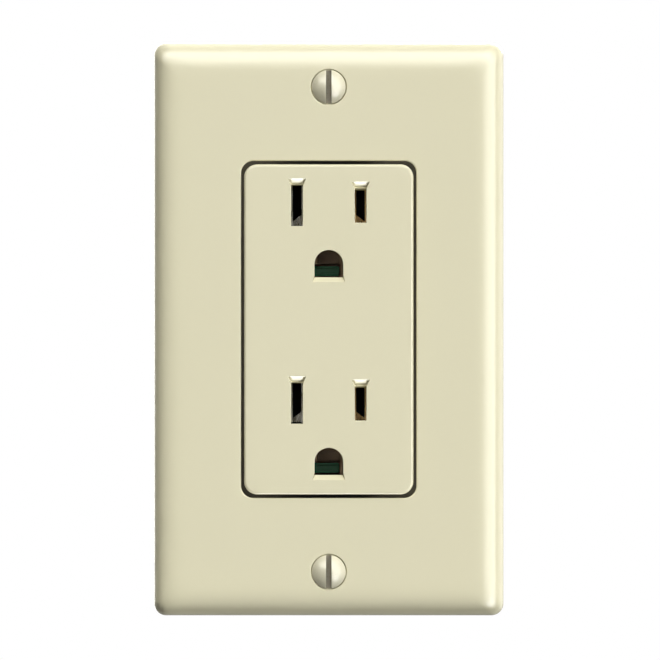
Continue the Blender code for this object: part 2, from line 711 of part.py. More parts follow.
def blade_slot(side, line):
    """Cutter for a blade slot, whose top runs down a curved ramp to the height of the blade."""
    low, top = line - SLOT_HEIGHT[side] / 2, line + SLOT_HEIGHT[side] / 2
    fall = SLOT_HEIGHT[side] - BLADE_HEIGHT[side]
    start, depth, steps = FACE_FRONT + LEAD_IN / 2, RAMP_DEPTH - LEAD_IN / 2, 4
    ramp = [(2 * FACE_FRONT, top)]
    for step in range(steps + 1):
        angle = math.pi / 2 * step / steps
        ramp.append((start + depth * (1 - math.cos(angle)), top - fall * math.sin(angle)))
    outline = [(2 * FACE_FRONT, low), (2 * FACE_BACK, low), (2 * FACE_BACK, top - fall), *reversed(ramp)]
    left = blade_x(side) - SLOT_WIDTH / 2
    return extruded("blade_slot", outline, left, left + SLOT_WIDTH, along="X")


def lead_in(x, slot_top):
    """Cutter for the bevel over a slot, which narrows and runs inwards as it comes down."""
    return wedge("lead_in", x, LEAD_IN_WIDTH / 2, SLOT_WIDTH / 2 - CUTTER_LAP, slot_top, 1)


def wedge(name, x, wide, slim, edge_z, sign):
    """Cutter for a bevel at a hole's edge: wide at the face's front, slim where it meets the hole."""
    front, back = FACE_FRONT - LAP, FACE_FRONT + LEAD_IN
    outer_z, inner_z = edge_z + sign * (LEAD_IN + LAP), edge_z - sign * LEAD_IN
    points = []
    for side in (-1, 1):
        points += [(x + side * wide, front, outer_z), (x + side * slim, back, edge_z),
                   (x + side * slim, front, inner_z)]
    bm = bmesh.new()
    for point in points:
        bm.verts.new(point)
    bmesh.ops.convex_hull(bm, input=bm.verts)
    return object_from(bm, name)


def make_face():
    """Rectangular receptacle face with two outlets, hollow behind, with a tower round each hole."""
    half_width, half_height = FACE_WIDTH / 2, FACE_HEIGHT / 2
    face = block(
        "receptacle_face", (-half_width, FACE_FRONT, -half_height), (half_width, FACE_BACK, half_height),
        radius=FACE_CORNER, steps=5, front_edge=FACE_EDGE,
    )
    inner = (half_width - FACE_SIDE_WALL, half_height - FACE_SIDE_WALL)
    cut(face, block(
        "face_hollow", (-inner[0], FACE_FRONT + FACE_WALL, -inner[1]), (inner[0], FACE_BACK * 2, inner[1]),
        radius=HOLLOW_CORNER, steps=2,
    ))
    root, tower_back = FACE_FRONT + FACE_WALL / 2, FACE_BACK - GAP
    for sign_x in SIDES.values():
        for sign_z in ENDS.values():
            x, z = sign_x * ASSEMBLY_X, sign_z * ASSEMBLY_Z
            join(face, rod("boss", (x, root, z), (x, tower_back, z), BOSS_RADIUS, steps=16))
    for end, line in BLADE_LINES.items():
        for side in SIDES:
            half = SLOT_HEIGHT[side] / 2 + TOWER_WALL
            join(face, centred_block(
                "tower", (blade_x(side), (root + tower_back) / 2, line),
                (SLOT_WIDTH + 2 * TOWER_WALL, tower_back - root, 2 * half),
            ))
        pin = GROUND_PINS[end]
        tower = ground_outline(pin, GROUND_RADIUS + TOWER_WALL / 2, GROUND_FLAT + TOWER_WALL)
        join(face, extruded("ground_tower", tower, root, tower_back))
    for end, line in BLADE_LINES.items():
        for side in SIDES:
            cut(face, blade_slot(side, line), lead_in(blade_x(side), line + SLOT_HEIGHT[side] / 2))
        cut(face, ground_hole(GROUND_PINS[end]), ground_bevel(GROUND_PINS[end]))
    for sign_x in SIDES.values():
        for sign_z in ENDS.values():
            x, z = sign_x * ASSEMBLY_X, sign_z * ASSEMBLY_Z
            start = FACE_FRONT + FACE_WALL + BOSS_ROOF
            cut(face, rod("boss_hole", (x, start, z), (x, 2 * FACE_BACK, z), BOSS_HOLE_RADIUS, steps=16))
    return finish(face, "ivory_face")


def ground_hole(pin_z):
    """Cutter for the hole of the ground pin."""
    outline = ground_outline(pin_z, GROUND_RADIUS, GROUND_FLAT)
    return extruded("ground_hole", outline, 2 * FACE_FRONT, 2 * FACE_BACK)


def ground_bevel(pin_z):
    """Cutter for the bevel along the flat side of a ground hole."""
    slim = GROUND_RADIUS - CUTTER_LAP
    wide = GROUND_RADIUS + GROUND_BEVEL_SPREAD
    return wedge("ground_bevel", 0, wide, slim, pin_z - GROUND_FLAT, -1)


# ---------------------------------------------------------------- back body


def make_body():
    """Moulded back body with a channel for each bus, two ground cells and the terminal recesses."""
    half_width, half_height = BODY_WIDTH / 2, BODY_HEIGHT / 2
    body = block(
        "back_body", (-half_width, BODY_FRONT, -half_height), (half_width, BODY_BACK, half_height),
        radius=BODY_CORNER, steps=3,
    )
    flange = centred_block(
        "body_flange", (0, BODY_FRONT + FLANGE_THICKNESS / 2, 0),
        (FLANGE_WIDTH, FLANGE_THICKNESS, BODY_HEIGHT), radius=BODY_CORNER, steps=3,
    )
    join(body, flange)
    for pin in GROUND_PINS.values():
        cut(body, block(
            "ground_cell",
            (-GROUND_CELL_HALF, BODY_FRONT - OVER, pin - GROUND_CELL_BELOW),
            (GROUND_CELL_HALF, GROUND_CELL_FLOOR, pin + GROUND_CELL_ABOVE),
        ))
        rivet = pin + RIVET_RISE
        cut(body, rod(
            "rivet_hole", (0, GROUND_CELL_FLOOR - OVER, rivet), (0, BODY_BACK + OVER, rivet),
            RIVET_SHANK_RADIUS + HOLE_SLACK, steps=20,
        ))
    for sign_x in SIDES.values():
        cut_side(body, sign_x, half_width + OVER)
        for sign_z in ENDS.values():
            x, z = sign_x * ASSEMBLY_X, sign_z * ASSEMBLY_Z
            cut(body, rod(
                "assembly_hole", (x, BODY_FRONT - OVER, z), (x, BODY_BACK + OVER, z),
                ASSEMBLY_SHANK_RADIUS + HOLE_SLACK, steps=12,
            ))
    tab_side = -half_width
    cut(body, rod(
        "ground_screw_pocket", (tab_side - OVER, GROUND_SCREW_Y, GROUND_SCREW_Z),
        (tab_side + GROUND_POCKET_DEPTH, GROUND_SCREW_Y, GROUND_SCREW_Z), GROUND_POCKET_RADIUS, steps=20,
    ))
    return finish(body, "dark_body")


def cut_side(body, sign_x, outside):
    """Cut one side's bus channel, terminal recess, screw holes, bridge slots and wire entries."""
    def across(name, near, far, front, back, low, high):
        left, right = sorted((sign_x * near, sign_x * far))
        cut(body, block(name, (left, front, low), (right, back, high)))

    across(
        "channel", CHANNEL_INNER, CHANNEL_OUTER, BODY_FRONT - OVER, CHANNEL_FLOOR, CHANNEL_LOW, CHANNEL_HIGH
    )
    across(
        "recess", RECESS_FLOOR, outside, RECESS_FRONT, RECESS_BACK, -RECESS_HALF_HEIGHT, RECESS_HALF_HEIGHT
    )
    for sign_z in ENDS.values():
        axis = sign_z * TERMINAL_Z
        bridge = sign_z * (TERMINAL_Z + BRIDGE_OFFSET)
        slack = SHEET / 2 + GAP
        across("bridge_slot", CHANNEL_OUTER - OVER, RECESS_FLOOR + OVER, *BRIDGE_SLOT_DEPTHS,
               bridge - slack, bridge + slack)
        cut(body, rod(
            "terminal_hole",
            (sign_x * (CHANNEL_OUTER - OVER / 2), TERMINAL_Y, axis),
            (sign_x * (RECESS_FLOOR + OVER / 2), TERMINAL_Y, axis),
            TERMINAL_SHANK_RADIUS + TERMINAL_HOLE_SLACK,
        ))
        for offset in (-WIRE_HOLE_OFFSET, WIRE_HOLE_OFFSET):
            x, z = sign_x * WIRE_HOLE_X, axis + offset
            cut(body, rod(
                "wire_hole", (x, RECESS_BACK - OVER, z), (x, BODY_BACK + OVER, z), WIRE_HOLE_RADIUS,
                steps=16,
            ))


# ---------------------------------------------------------------- contacts


def make_bus(side, material):
    """Contact bus: a rail with two blade clips, and terminal pads joined by the break-off fin."""
    sign = SIDES[side]

    def plate(near, far, depths, low, high, name="bus_part"):
        left, right = sorted((sign * near, sign * far))
        return block(name, (left, depths[0], low), (right, depths[1], high))

    def hole(name, z, radius, steps):
        start, end = sign * (PAD_X - OVER), sign * (PAD_OUTER + OVER)
        return rod(name, (start, TERMINAL_Y, z), (end, TERMINAL_Y, z), radius, steps=steps)

    bus = plate(RAIL_X, RAIL_X + SHEET, RAIL_DEPTHS, RAIL_LOW, RAIL_HIGH, f"{side}_contact_bus")
    inner, outer = (BLADE_SPACING - LEAF_GAP) / 2, (BLADE_SPACING + LEAF_GAP) / 2
    leaf_depths = (LEAF_FRONT, CLIP_FLOOR + LAP)
    for line in BLADE_LINES.values():
        low, high = line - CLIP_HALF_HEIGHT, line + CLIP_HALF_HEIGHT
        web = [
            (inner - LEAF, low), (RAIL_X + LAP, low), (RAIL_X + LAP, low + CLIP_WEB[1]),
            (outer, low + CLIP_WEB[1]), (inner, low + CLIP_WEB[0]), (inner - LEAF, low + CLIP_WEB[0]),
        ]
        join(
            bus,
            extruded("web", [(sign * x, z) for x, z in web], CLIP_FLOOR, CLIP_FLOOR + LEAF),
            plate(inner - LEAF, inner, leaf_depths, low, high),
            plate(outer, outer + LEAF, leaf_depths, low, high),
            plate(outer + LAP, RAIL_X + LAP, (CLIP_FLOOR - LEAF, CLIP_FLOOR + LAP), low, high),
        )
    for sign_z in ENDS.values():
        axis = sign_z * TERMINAL_Z
        bridge = sign_z * (TERMINAL_Z + BRIDGE_OFFSET)
        join(
            bus,
            plate(PAD_X, PAD_OUTER, PAD_DEPTHS, axis - PAD_HALF_HEIGHT, axis + PAD_HALF_HEIGHT),
            plate(RAIL_X + LAP, PAD_X + LAP, BRIDGE_DEPTHS, bridge - SHEET / 2, bridge + SHEET / 2),
        )
    fin_half = TERMINAL_Z - PAD_HALF_HEIGHT + LAP
    join(bus, plate(PAD_X + FIN_INSET, PAD_OUTER - FIN_INSET, FIN_DEPTHS, -fin_half, fin_half))
    for sign_z in ENDS.values():
        cut(bus, hole("tapped_hole", sign_z * TERMINAL_Z, TERMINAL_SHANK_RADIUS + THREAD_FIT, 24))
    cut(bus, hole("fin_hole", 0, FIN_HOLE_RADIUS, 12))
    return finish(bus, material)


def make_ground_contact(end, pin_z):
    """Ground contact: two leaves either side of the pin, on a base that is riveted to the strap."""
    half_gap = GROUND_LEAF_GAP / 2
    contact = block(
        f"ground_contact_{end}",
        (-half_gap - LEAF, GROUND_BASE, pin_z - GROUND_LEAF_HALF_HEIGHT),
        (half_gap + LEAF, GROUND_BASE + GROUND_BASE_THICKNESS, pin_z + RIVET_RISE + GROUND_BASE_RISE),
    )
    for near, far in ((-half_gap - LEAF, -half_gap), (half_gap, half_gap + LEAF)):
        join(contact, block(
            "ground_leaf", (near, LEAF_FRONT, pin_z - GROUND_LEAF_HALF_HEIGHT),
            (far, GROUND_BASE + LAP, pin_z + GROUND_LEAF_HALF_HEIGHT),
        ))
    below, spacer_top = pin_z - 2 * GROUND_LEAF_HALF_HEIGHT, pin_z - SPACER_BELOW[1] + GAP
    cut(
        contact,
        block(
            "spacer_notch",
            (-GROUND_LEAF_GAP, SPACER_FRONT - GAP, below),
            (GROUND_LEAF_GAP, GROUND_BASE + CUTTER_LAP, spacer_top),
        ),
        block("leaf_notch", (-GROUND_LEAF_GAP, 0, below), (0, SPACER_FRONT, spacer_top)),
    )
    z = pin_z + RIVET_RISE
    cut(contact, rod(
        "rivet_hole", (0, GROUND_BASE - OVER, z), (0, GROUND_BASE + 2 * OVER, z),
        RIVET_SHANK_RADIUS + RIVET_FIT, steps=20,
    ))
    return finish(contact, "brass")


def make_ground_spacer(end, pin_z):
    """Green spacer at the bottom of a ground cell, beyond the reach of a plug's pin."""
    left, right = SPACER_SIDES
    low, high = pin_z - SPACER_BELOW[0], pin_z - SPACER_BELOW[1]
    spacer = block(
        f"ground_spacer_{end}", (left, SPACER_FRONT, low), (right, GROUND_BASE - GAP, high),
        radius=SPACER_CORNER, steps=2,
    )
    cut(spacer, block(
        "spacer_groove", (left - OVER, SPACER_FRONT - OVER, low + SPACER_RIB),
        (right + OVER, SPACER_FRONT + SPACER_GROOVE, high - SPACER_RIB),
    ))
    return finish(spacer, "green_nylon")


# ---------------------------------------------------------------- strap


def strap_stations():
    """Edge points along the strap: tongue, leg, spine, leg and tongue."""
    front, back = -STRAP_THICKNESS / 2, SPINE_FRONT + STRAP_THICKNESS / 2
    leg_z, tip_z = LEG_INNER + STRAP_THICKNESS / 2, STRAP_LENGTH / 2
    path = filleted(
        [(front, tip_z), (front, leg_z), (back, leg_z), (back, -leg_z), (front, -leg_z), (front, -tip_z)],
        STRAP_BEND,
    )
    half_width = STRAP_WIDTH / 2
    return [((half_width, point.x, point.y), (-half_width, point.x, point.y)) for point in path]


def make_strap():
    """Steel strap that wraps round the back, with plaster ears, screw holes and a ground tab."""
    strap = bent_sheet("mounting_strap", strap_stations(), STRAP_THICKNESS)
    front, back = -STRAP_THICKNESS, 0.0
    for sign in ENDS.values():
        low, high = sorted((sign * EAR_LOW, sign * EAR_HIGH))
        join(strap, block(
            "ears", (-EAR_REACH, front, low), (EAR_REACH, back, high), radius=EAR_CORNER, steps=4
        ))
    join(strap, ground_tab())
    for sign in ENDS.values():
        cut_strap_end(strap, sign)
    for pin in GROUND_PINS.values():
        z = pin + RIVET_RISE
        cut(strap, rod(
            "rivet_hole", (0, SPINE_FRONT - OVER, z), (0, SPINE_BACK + OVER, z),
            RIVET_SHANK_RADIUS + RIVET_FIT, steps=20,
        ))
    cut(strap, rod(
        "ground_tap", (GROUND_TAB_X - 2 * OVER, GROUND_SCREW_Y, GROUND_SCREW_Z),
        (GROUND_TAB_X + 2 * OVER, GROUND_SCREW_Y, GROUND_SCREW_Z), TERMINAL_SHANK_RADIUS + THREAD_FIT,
    ))
    return finish(strap, "zinc_steel")


def cut_strap_end(strap, sign):
    """Cut the screw holes, the washer holes of the ears and their score lines at one end."""
    z = sign * PLATE_SCREW_SPACING / 2
    before, behind = -STRAP_THICKNESS - OVER, OVER
    cut(strap, rod("plate_tap", (0, before, z), (0, behind, z), SMALL_SHANK_RADIUS + THREAD_FIT))
    width, height = MOUNTING_SLOT
    cut(strap, block(
        "mounting_slot",
        (-width / 2, before, (sign * MOUNTING_SPACING - height) / 2),
        (width / 2, behind, (sign * MOUNTING_SPACING + height) / 2),
        radius=height / 2 - SLOT_END_EASE, steps=6,
    ))
    middle = sign * (EAR_LOW + EAR_HIGH) / 2
    for side in SIDES.values():
        x = side * EAR_HOLE_X
        cut(strap, rod("ear_hole", (x, before, middle), (x, behind, middle), EAR_HOLE_RADIUS, steps=20))
        cut(strap, centred_block(
            "score", (side * (STRAP_WIDTH / 2 + SCORE_WIDTH), -STRAP_THICKNESS, middle),
            (SCORE_WIDTH, 2 * SCORE_DEPTH, SCORE_LENGTH),
        ))


def ground_tab():
    """Tab from the lower leg round the body's corner, where the ground screw sits."""
    leg_z = -(LEG_INNER + STRAP_THICKNESS / 2)
    root = -STRAP_WIDTH / 2 + 2 * OVER
    path = filleted([(root, leg_z), (GROUND_TAB_X, leg_z), (GROUND_TAB_X, GROUND_TAB_TOP)], STRAP_BEND)
    stations = [
        ((point.x, GROUND_TAB_FRONT, point.y), (point.x, GROUND_TAB_BACK, point.y)) for point in path
    ]
    return bent_sheet("ground_tab", stations, STRAP_THICKNESS)


# ---------------------------------------------------------------- clamps, washers and clip


def make_clamp(name, inner_x, y, z, material):
    """Pressure plate under a terminal screw's head, with two grooves for the wires."""
    sign = 1 if inner_x > 0 else -1
    centre = Vector((inner_x + sign * CLAMP_THICKNESS / 2, y, z))
    size = (CLAMP_THICKNESS, *CLAMP_SIZE)
    clamp = centred_block(name, centre, size, radius=CLAMP_CORNER, along=0, steps=2)
    reach = Vector((CLAMP_THICKNESS, 0, 0))
    cut(clamp, rod("clamp_hole", centre - reach, centre + reach, TERMINAL_SHANK_RADIUS + RUNNING_FIT))
    for offset in (-WIRE_HOLE_OFFSET, WIRE_HOLE_OFFSET):
        middle = Vector((inner_x, y, z + offset))
        along = Vector((0, CLAMP_SIZE[0], 0))
        cut(clamp, rod("wire_groove", middle - along, middle + along, CLAMP_GROOVE_RADIUS, steps=10))
    return finish(clamp, material)


def make_retainer(end, sign):
    """Fibre washer behind the strap that keeps a mounting screw in its slot."""
    centre = Vector((0, GAP + RETAINER_THICKNESS / 2, sign * MOUNTING_SPACING / 2))
    size = (RETAINER_SIZE[0], RETAINER_THICKNESS, RETAINER_SIZE[1])
    washer = centred_block(f"screw_retainer_{end}", centre, size, radius=RETAINER_CORNER, steps=3)
    reach = Vector((0, OVER, 0))
    cut(washer, rod("retainer_hole", centre - reach, centre + reach, SMALL_SHANK_RADIUS + RUNNING_FIT))
    return finish(washer, "fibre")


def make_grounding_clip():
    """Spring clip behind the upper mounting slot that grounds the strap through the screw."""
    near = GAP + CLIP_SHEET / 2
    slot_z, (low, step_low, step_high) = MOUNTING_SPACING / 2, CLIP_BENDS
    path = filleted(
        [(near, low), (near, step_low), (CLIP_FAR, step_high), (CLIP_FAR, slot_z + CLIP_ABOVE_SLOT)],
        CLIP_BEND_RADIUS, steps=2,
    )
    stations = [((CLIP_HALF_WIDTH, p.x, p.y), (-CLIP_HALF_WIDTH, p.x, p.y)) for p in path]
    clip = bent_sheet("grounding_clip", stations, CLIP_SHEET)
    cut(clip, centred_block(
        "clip_slot", (0, CLIP_FAR, slot_z), (CLIP_SLOT_WIDTH, 2 * OVER, MOUNTING_SLOT[1]),
        radius=MOUNTING_SLOT[1] / 2 - SLOT_END_EASE, steps=6,
    ))
    return finish(clip, "brass")


# ---------------------------------------------------------------- the outlet


def make_terminals():
    """The terminal screws and clamps of both buses, and those of the ground tab."""
    for side, sign_x in SIDES.items():
        for end, sign_z in ENDS.items():
            make_terminal_screw(side, sign_x, end, sign_z)
            make_clamp(
                f"terminal_clamp_{side}_{end}", sign_x * (PAD_OUTER + GAP), TERMINAL_Y,
                sign_z * TERMINAL_Z, "brass" if side == "hot" else "nickel",
            )
    make_ground_screw()
    tab_face = GROUND_TAB_X - STRAP_THICKNESS / 2
    make_clamp("ground_clamp", tab_face - GAP, GROUND_SCREW_Y, GROUND_SCREW_Z, "zinc_steel")


def main():
    """Build every piece of the outlet."""
    clear_scene()
    new_collection(OBJECT_NAME)
    new_collection("tools")
    for name, values in MATERIALS.items():
        new_material(name, *values)
    make_wallplate()
    make_face()
    make_body()
    make_strap()
    make_bus("hot", "brass")
    make_bus("neutral", "nickel")
    for end, pin_z in GROUND_PINS.items():
        make_ground_contact(end, pin_z)
        make_ground_spacer(end, pin_z)
        make_rivet(end, pin_z)
    for end, sign in ENDS.items():
        make_plate_screw(end, sign)
        make_mounting_screw(end, sign)
        make_retainer(end, sign)
        for side, sign_x in SIDES.items():
            make_assembly_screw("right" if sign_x > 0 else "left", sign_x, end, sign)
    make_grounding_clip()
    make_terminals()


main()
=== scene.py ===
"""Looks of the duplex wall outlet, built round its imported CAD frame.

Metres, +Z up. The wall's surface is Y = 0 and the outlet faces -Y. Pieces that need finer shapes
than the CAD has are made here; the others are copies of their CAD nodes with softened edges.
"""

import json
import math

import bmesh
import bpy
from mathutils import Matrix, Vector


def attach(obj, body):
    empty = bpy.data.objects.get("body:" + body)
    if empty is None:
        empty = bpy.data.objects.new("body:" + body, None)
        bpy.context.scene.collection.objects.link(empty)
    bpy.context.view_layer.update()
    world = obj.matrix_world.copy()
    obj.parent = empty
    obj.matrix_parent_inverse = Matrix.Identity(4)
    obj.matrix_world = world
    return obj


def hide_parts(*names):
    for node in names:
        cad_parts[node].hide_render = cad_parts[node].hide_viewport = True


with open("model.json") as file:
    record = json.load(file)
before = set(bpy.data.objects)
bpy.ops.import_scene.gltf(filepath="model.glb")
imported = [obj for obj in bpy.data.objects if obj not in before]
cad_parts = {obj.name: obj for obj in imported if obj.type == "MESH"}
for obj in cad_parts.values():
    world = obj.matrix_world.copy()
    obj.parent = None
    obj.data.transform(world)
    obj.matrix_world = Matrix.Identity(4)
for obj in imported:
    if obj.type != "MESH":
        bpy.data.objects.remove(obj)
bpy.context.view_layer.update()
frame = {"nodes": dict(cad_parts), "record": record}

MM = 0.001

# Sizes shared with the CAD
PLATE_DEPTH = 5.6 * MM
PLATE_CORNER = 2.4 * MM
PLATE_SOFT_CORNER = 2.6 * MM
PLATE_RIM = 1.4 * MM
PLATE_ROUNDING = 6.3 * MM
PLATE_EDGE_POWER = 3.0
PLATE_WALL = 2.2 * MM
PLATE_SIDE_WALL = 2.0 * MM
PLATE_SCREW_Z = 48.42 * MM
WINDOW = (17.5 * MM, 33.65 * MM, 2.4 * MM)
FACE_FRONT = -6.4 * MM
FACE_BACK = 5.0 * MM
FACE_WALL = 3.0 * MM
FACE_SIDE_WALL = 1.9 * MM
FACE_CORNER = 2.6 * MM
FACE_INNER_CORNER = 1.2 * MM
FACE_EDGE = 0.5 * MM
BLADE_LINES = (24.9 * MM, -14.6 * MM)
GROUND_PINS = (13.01 * MM, -26.49 * MM)
BLADES = {"hot": (6.35 * MM, 7.2 * MM, 0.7 * MM), "neutral": (-6.35 * MM, 8.5 * MM, 0.4 * MM)}
SLOT_WIDTH = 2.3 * MM
LEAD_IN = 1.0 * MM
LEAD_IN_WIDTH = 4.0 * MM
RAMP_DEPTH = 3.6 * MM
GROUND_RADIUS = 2.85 * MM
GROUND_FLAT = 2.6 * MM
TOWER_WALL = 1.3 * MM
PLATE_HALF_SIZE = (34.925 * MM, 57.15 * MM)
FACE_HALF_SIZE = (16.9 * MM, 32.95 * MM)
ASSEMBLY = (12.5 * MM, 29.6 * MM)
BODY_BACK = 24.0 * MM
SPINE_BACK = 25.9 * MM
RIVET_OFFSET = 6.2 * MM
TERMINAL = (15.4 * MM, 13.0 * MM, 9.9 * MM)
GROUND_SCREW = (-20.15 * MM, 12.5 * MM, -25.6 * MM)
MOUNTING_SCREW = (-1.45 * MM, 41.67 * MM)
PITCH = 0.79375 * MM
PLATE_SCREW = (3.38 * MM, 1.15 * MM, 1.725 * MM, 2.15 * MM)     # head and crown, shank and cone
DRIVER_SLOT = 1.05 * MM
THREAD_DEPTH = 0.34 * MM
THREAD_LAP = 0.3 * MM               # how far a threaded shank starts inside its screw's neck
ACROSS_HEAD = 9 * MM                # a slot cutter this long leaves both sides of any head
TERMINALS = {"hot": 1, "neutral": -1}
TERMINAL_METALS = {"hot": "brass", "neutral": "nickel"}
ENDS = {"upper": 1, "lower": -1}
CORNERS = [(side, end) for side in (1, -1) for end in (1, -1)]

# Fineness of the visible meshes
THREAD_STEPS = 28
THREAD_ROWS = 8
ARCH_STEPS = 28
MERGE = 0.002 * MM
SLIVER = 0.001 * MM
SAME_LEVEL = 0.0001 * MM
ON_AXIS = 1e-6 * MM
FLAT_ANGLE = math.radians(0.5)
CREASE = 32                         # degrees
SHELL_CREASE = 28
REFINED_CREASE = 35
OVER = 1.0 * MM                     # how far a cutter reaches past the surface it cuts

# Stage, in metres, and lens, in millimetres
FLOOR_RADIUS = 4.0
FLOOR_Z = -0.35
CAMERA_PLACE = (0.25 * MM, -3.3, -0.12 * MM)
SENSOR_WIDTH = 36.0
FOCAL_LENGTH = 900.0

# Directions
FORWARD = (0, -1, 0)
BACKWARD = (0, 1, 0)
UP = Vector((0, 0, 1))


# ---------------------------------------------------------------- node materials


def set_range(node, start, end, low, high):
    """Make a range node turn start...end into low...high."""
    for name, number in (("From Min", start), ("From Max", end), ("To Min", low), ("To Max", high)):
        node.inputs[name].default_value = number


class Nodes:
    """A Principled material whose colour, roughness and bump come from procedural nodes."""

    def __init__(self, name, **values):
        self.material = bpy.data.materials.new(name)
        self.material.use_nodes = True
        self.tree = self.material.node_tree
        self.shader = self.tree.nodes["Principled BSDF"]
        for socket, value in values.items():
            self.shader.inputs[socket.replace("_", " ")].default_value = value
        self.place = self.add("ShaderNodeTexCoord").outputs["Object"]

    def add(self, kind, **sockets):
        """A new node with its inputs set or linked."""
        node = self.tree.nodes.new(kind)
        for name, value in sockets.items():
            self.feed(node.inputs[name.replace("_", " ")], value)
        return node

    def feed(self, socket, value):
        """Link a node's output to a socket, or set the socket to a value."""
        if isinstance(value, bpy.types.NodeSocket):
            self.tree.links.new(value, socket)
        else:
            socket.default_value = value

    def stretched(self, scale):
        """The object's coordinates, scaled by a factor on each axis."""
        node = self.add("ShaderNodeMapping", Vector=self.place)
        node.inputs["Scale"].default_value = scale
        return node.outputs["Vector"]

    def noise(self, scale, detail=3.0, rough=0.5, where=None):
        """Noise from 0 to 1 with features of about 1/scale metres."""
        node = self.add("ShaderNodeTexNoise", Vector=where or self.place, Scale=scale,
                        Detail=detail, Roughness=rough)
        return node.outputs["Fac"]

    def cells(self, scale):
        """Distance to the nearest of many scattered points."""
        node = self.add("ShaderNodeTexVoronoi", Vector=self.place, Scale=scale)
        return node.outputs["Distance"]

    def spread(self, value, low, high, start=0.3, end=0.7):
        """A value that runs from low to high as the input goes from start to end."""
        node = self.add("ShaderNodeMapRange", Value=value)
        set_range(node, start, end, low, high)
        return node.outputs["Result"]

    def mix(self, share, one, two):
        """A colour between two others."""
        node = self.tree.nodes.new("ShaderNodeMix")
        node.data_type = "RGBA"
        for index, value in ((0, share), (6, one), (7, two)):
            self.feed(node.inputs[index], value)
        return node.outputs[2]

    def worn_edges(self, start, end):
        """1 on sharp convex edges and 0 elsewhere."""
        node = self.tree.nodes.new("ShaderNodeNewGeometry")
        return self.spread(node.outputs["Pointiness"], 0.0, 1.0, start, end)

    def bump(self, *layers):
        """Bumps laid over each other: (height from 0 to 1, depth in metres)."""
        normal = None
        for height, depth in layers:
            node = self.add("ShaderNodeBump", Height=height)
            node.inputs["Distance"].default_value = depth
            node.inputs["Strength"].default_value = 1.0
            if normal:
                self.feed(node.inputs["Normal"], normal)
            normal = node.outputs["Normal"]
        self.feed(self.shader.inputs["Normal"], normal)

    def set(self, socket, value):
        """Give the shader a value or a node's output."""
        self.feed(self.shader.inputs[socket], value)


def tone(colour, factor):
    """A colour, made lighter or darker."""
    return tuple(min(1.0, c * factor) for c in colour) + (1.0,)


def moulded(name, colour, roughness, grain, flow):
    """Injection-moulded plastic: faint flow clouds, satin texture and a few light scuffs."""
    n = Nodes(name, IOR=1.5)
    cloud = n.noise(55.0, 2.0)
    fine = n.noise(9000.0, 2.0, 0.6)
    base = n.mix(n.spread(cloud, 0.0, 1.0), tone(colour, 1 - flow), tone(colour, 1 + flow))
    speck = n.spread(n.noise(2600.0, 1.0), 0.0, 0.35, 0.62, 0.78)
    n.set("Base Color", n.mix(speck, base, tone(colour, 1 - 2.5 * flow)))
    scuff = n.noise(1400.0, 4.0, 0.65, n.stretched((1.0, 1.0, 0.5)))
    n.set("Roughness", n.spread(scuff, roughness - 0.012, roughness + 0.02))
    n.bump((n.noise(110.0, 0.0), 0.002 * MM), (fine, grain))
    return n.material


def enamel(name, colour, roughness, slot_shade, slot_width):
    """Enamel over steel: orange peel, with a mottled dark brown painted shade inside the driver
    slot.
    """
    n = Nodes(name, IOR=1.5, Coat_Weight=0.08, Coat_Roughness=0.15)
    cloud = n.spread(n.noise(700.0, 2.0), 0.0, 1.0)
    paint = n.mix(cloud, tone(colour, 0.97), tone(colour, 1.0))
    axis = n.add("ShaderNodeSeparateXYZ", Vector=n.place).outputs["X"]
    across = n.add("ShaderNodeMath", Value=axis)
    across.operation = "ABSOLUTE"
    # Inside the driver slot the colour is painted shade: a mottled dark brown that stands for the
    # shadow of the slot's walls.
    in_slot = n.spread(across.outputs[0], 1.0, 0.0, 0.50 * slot_width, 0.56 * slot_width)
    shaded_slot = n.mix(n.noise(1900.0, 3.0), tone(slot_shade, 0.8), tone(slot_shade, 1.2))
    n.set("Base Color", n.mix(in_slot, paint, shaded_slot))
    n.set("Roughness", n.spread(n.noise(2400.0, 3.0), roughness - 0.04, roughness + 0.06))
    n.bump((n.noise(1500.0, 1.5), 0.006 * MM))
    return n.material


def plated(name, colour, roughness, tint, brushed=(1.0, 1.0, 1.0), blotch=0.5):
    """Plated or bare metal: drawn streaks, blotches of tarnish and bright worn edges."""
    n = Nodes(name, Metallic=1.0)
    streak = n.noise(2600.0, 4.0, 0.6, n.stretched(brushed))
    stain = n.spread(n.noise(210.0, 4.0, 0.6), 0.0, blotch, 0.42, 0.66)
    metal = n.mix(n.spread(streak, 0.0, 1.0), tone(colour, 0.90), tone(colour, 1.06))
    aged = n.mix(stain, metal, tone(tint, 1.0))
    n.set("Base Color", n.mix(n.worn_edges(0.53, 0.60), aged, tone(colour, 1.18)))
    n.set("Roughness", n.spread(streak, roughness - 0.06, roughness + 0.12))
    pits = n.spread(n.cells(1500.0), 1.0, 0.0, 0.05, 0.20)
    n.bump((streak, 0.004 * MM), (pits, 0.004 * MM))
    return n.material


def lacquered(name, colour, metal, roughness):
    """Green-dyed steel: the dye is thin enough to show metal on the edges."""
    n = Nodes(name, Metallic=0.65, Coat_Weight=0.2, Coat_Roughness=0.2)
    cloud = n.spread(n.noise(420.0, 3.0), 0.0, 1.0)
    dyed = n.mix(cloud, tone(colour, 0.8), tone(colour, 1.15))
    n.set("Base Color", n.mix(n.worn_edges(0.54, 0.62), dyed, tone(metal, 0.9)))
    n.set("Roughness", n.spread(n.noise(1800.0, 3.0), roughness - 0.05, roughness + 0.1))
    n.bump((n.noise(2100.0, 2.0), 0.005 * MM))
    return n.material


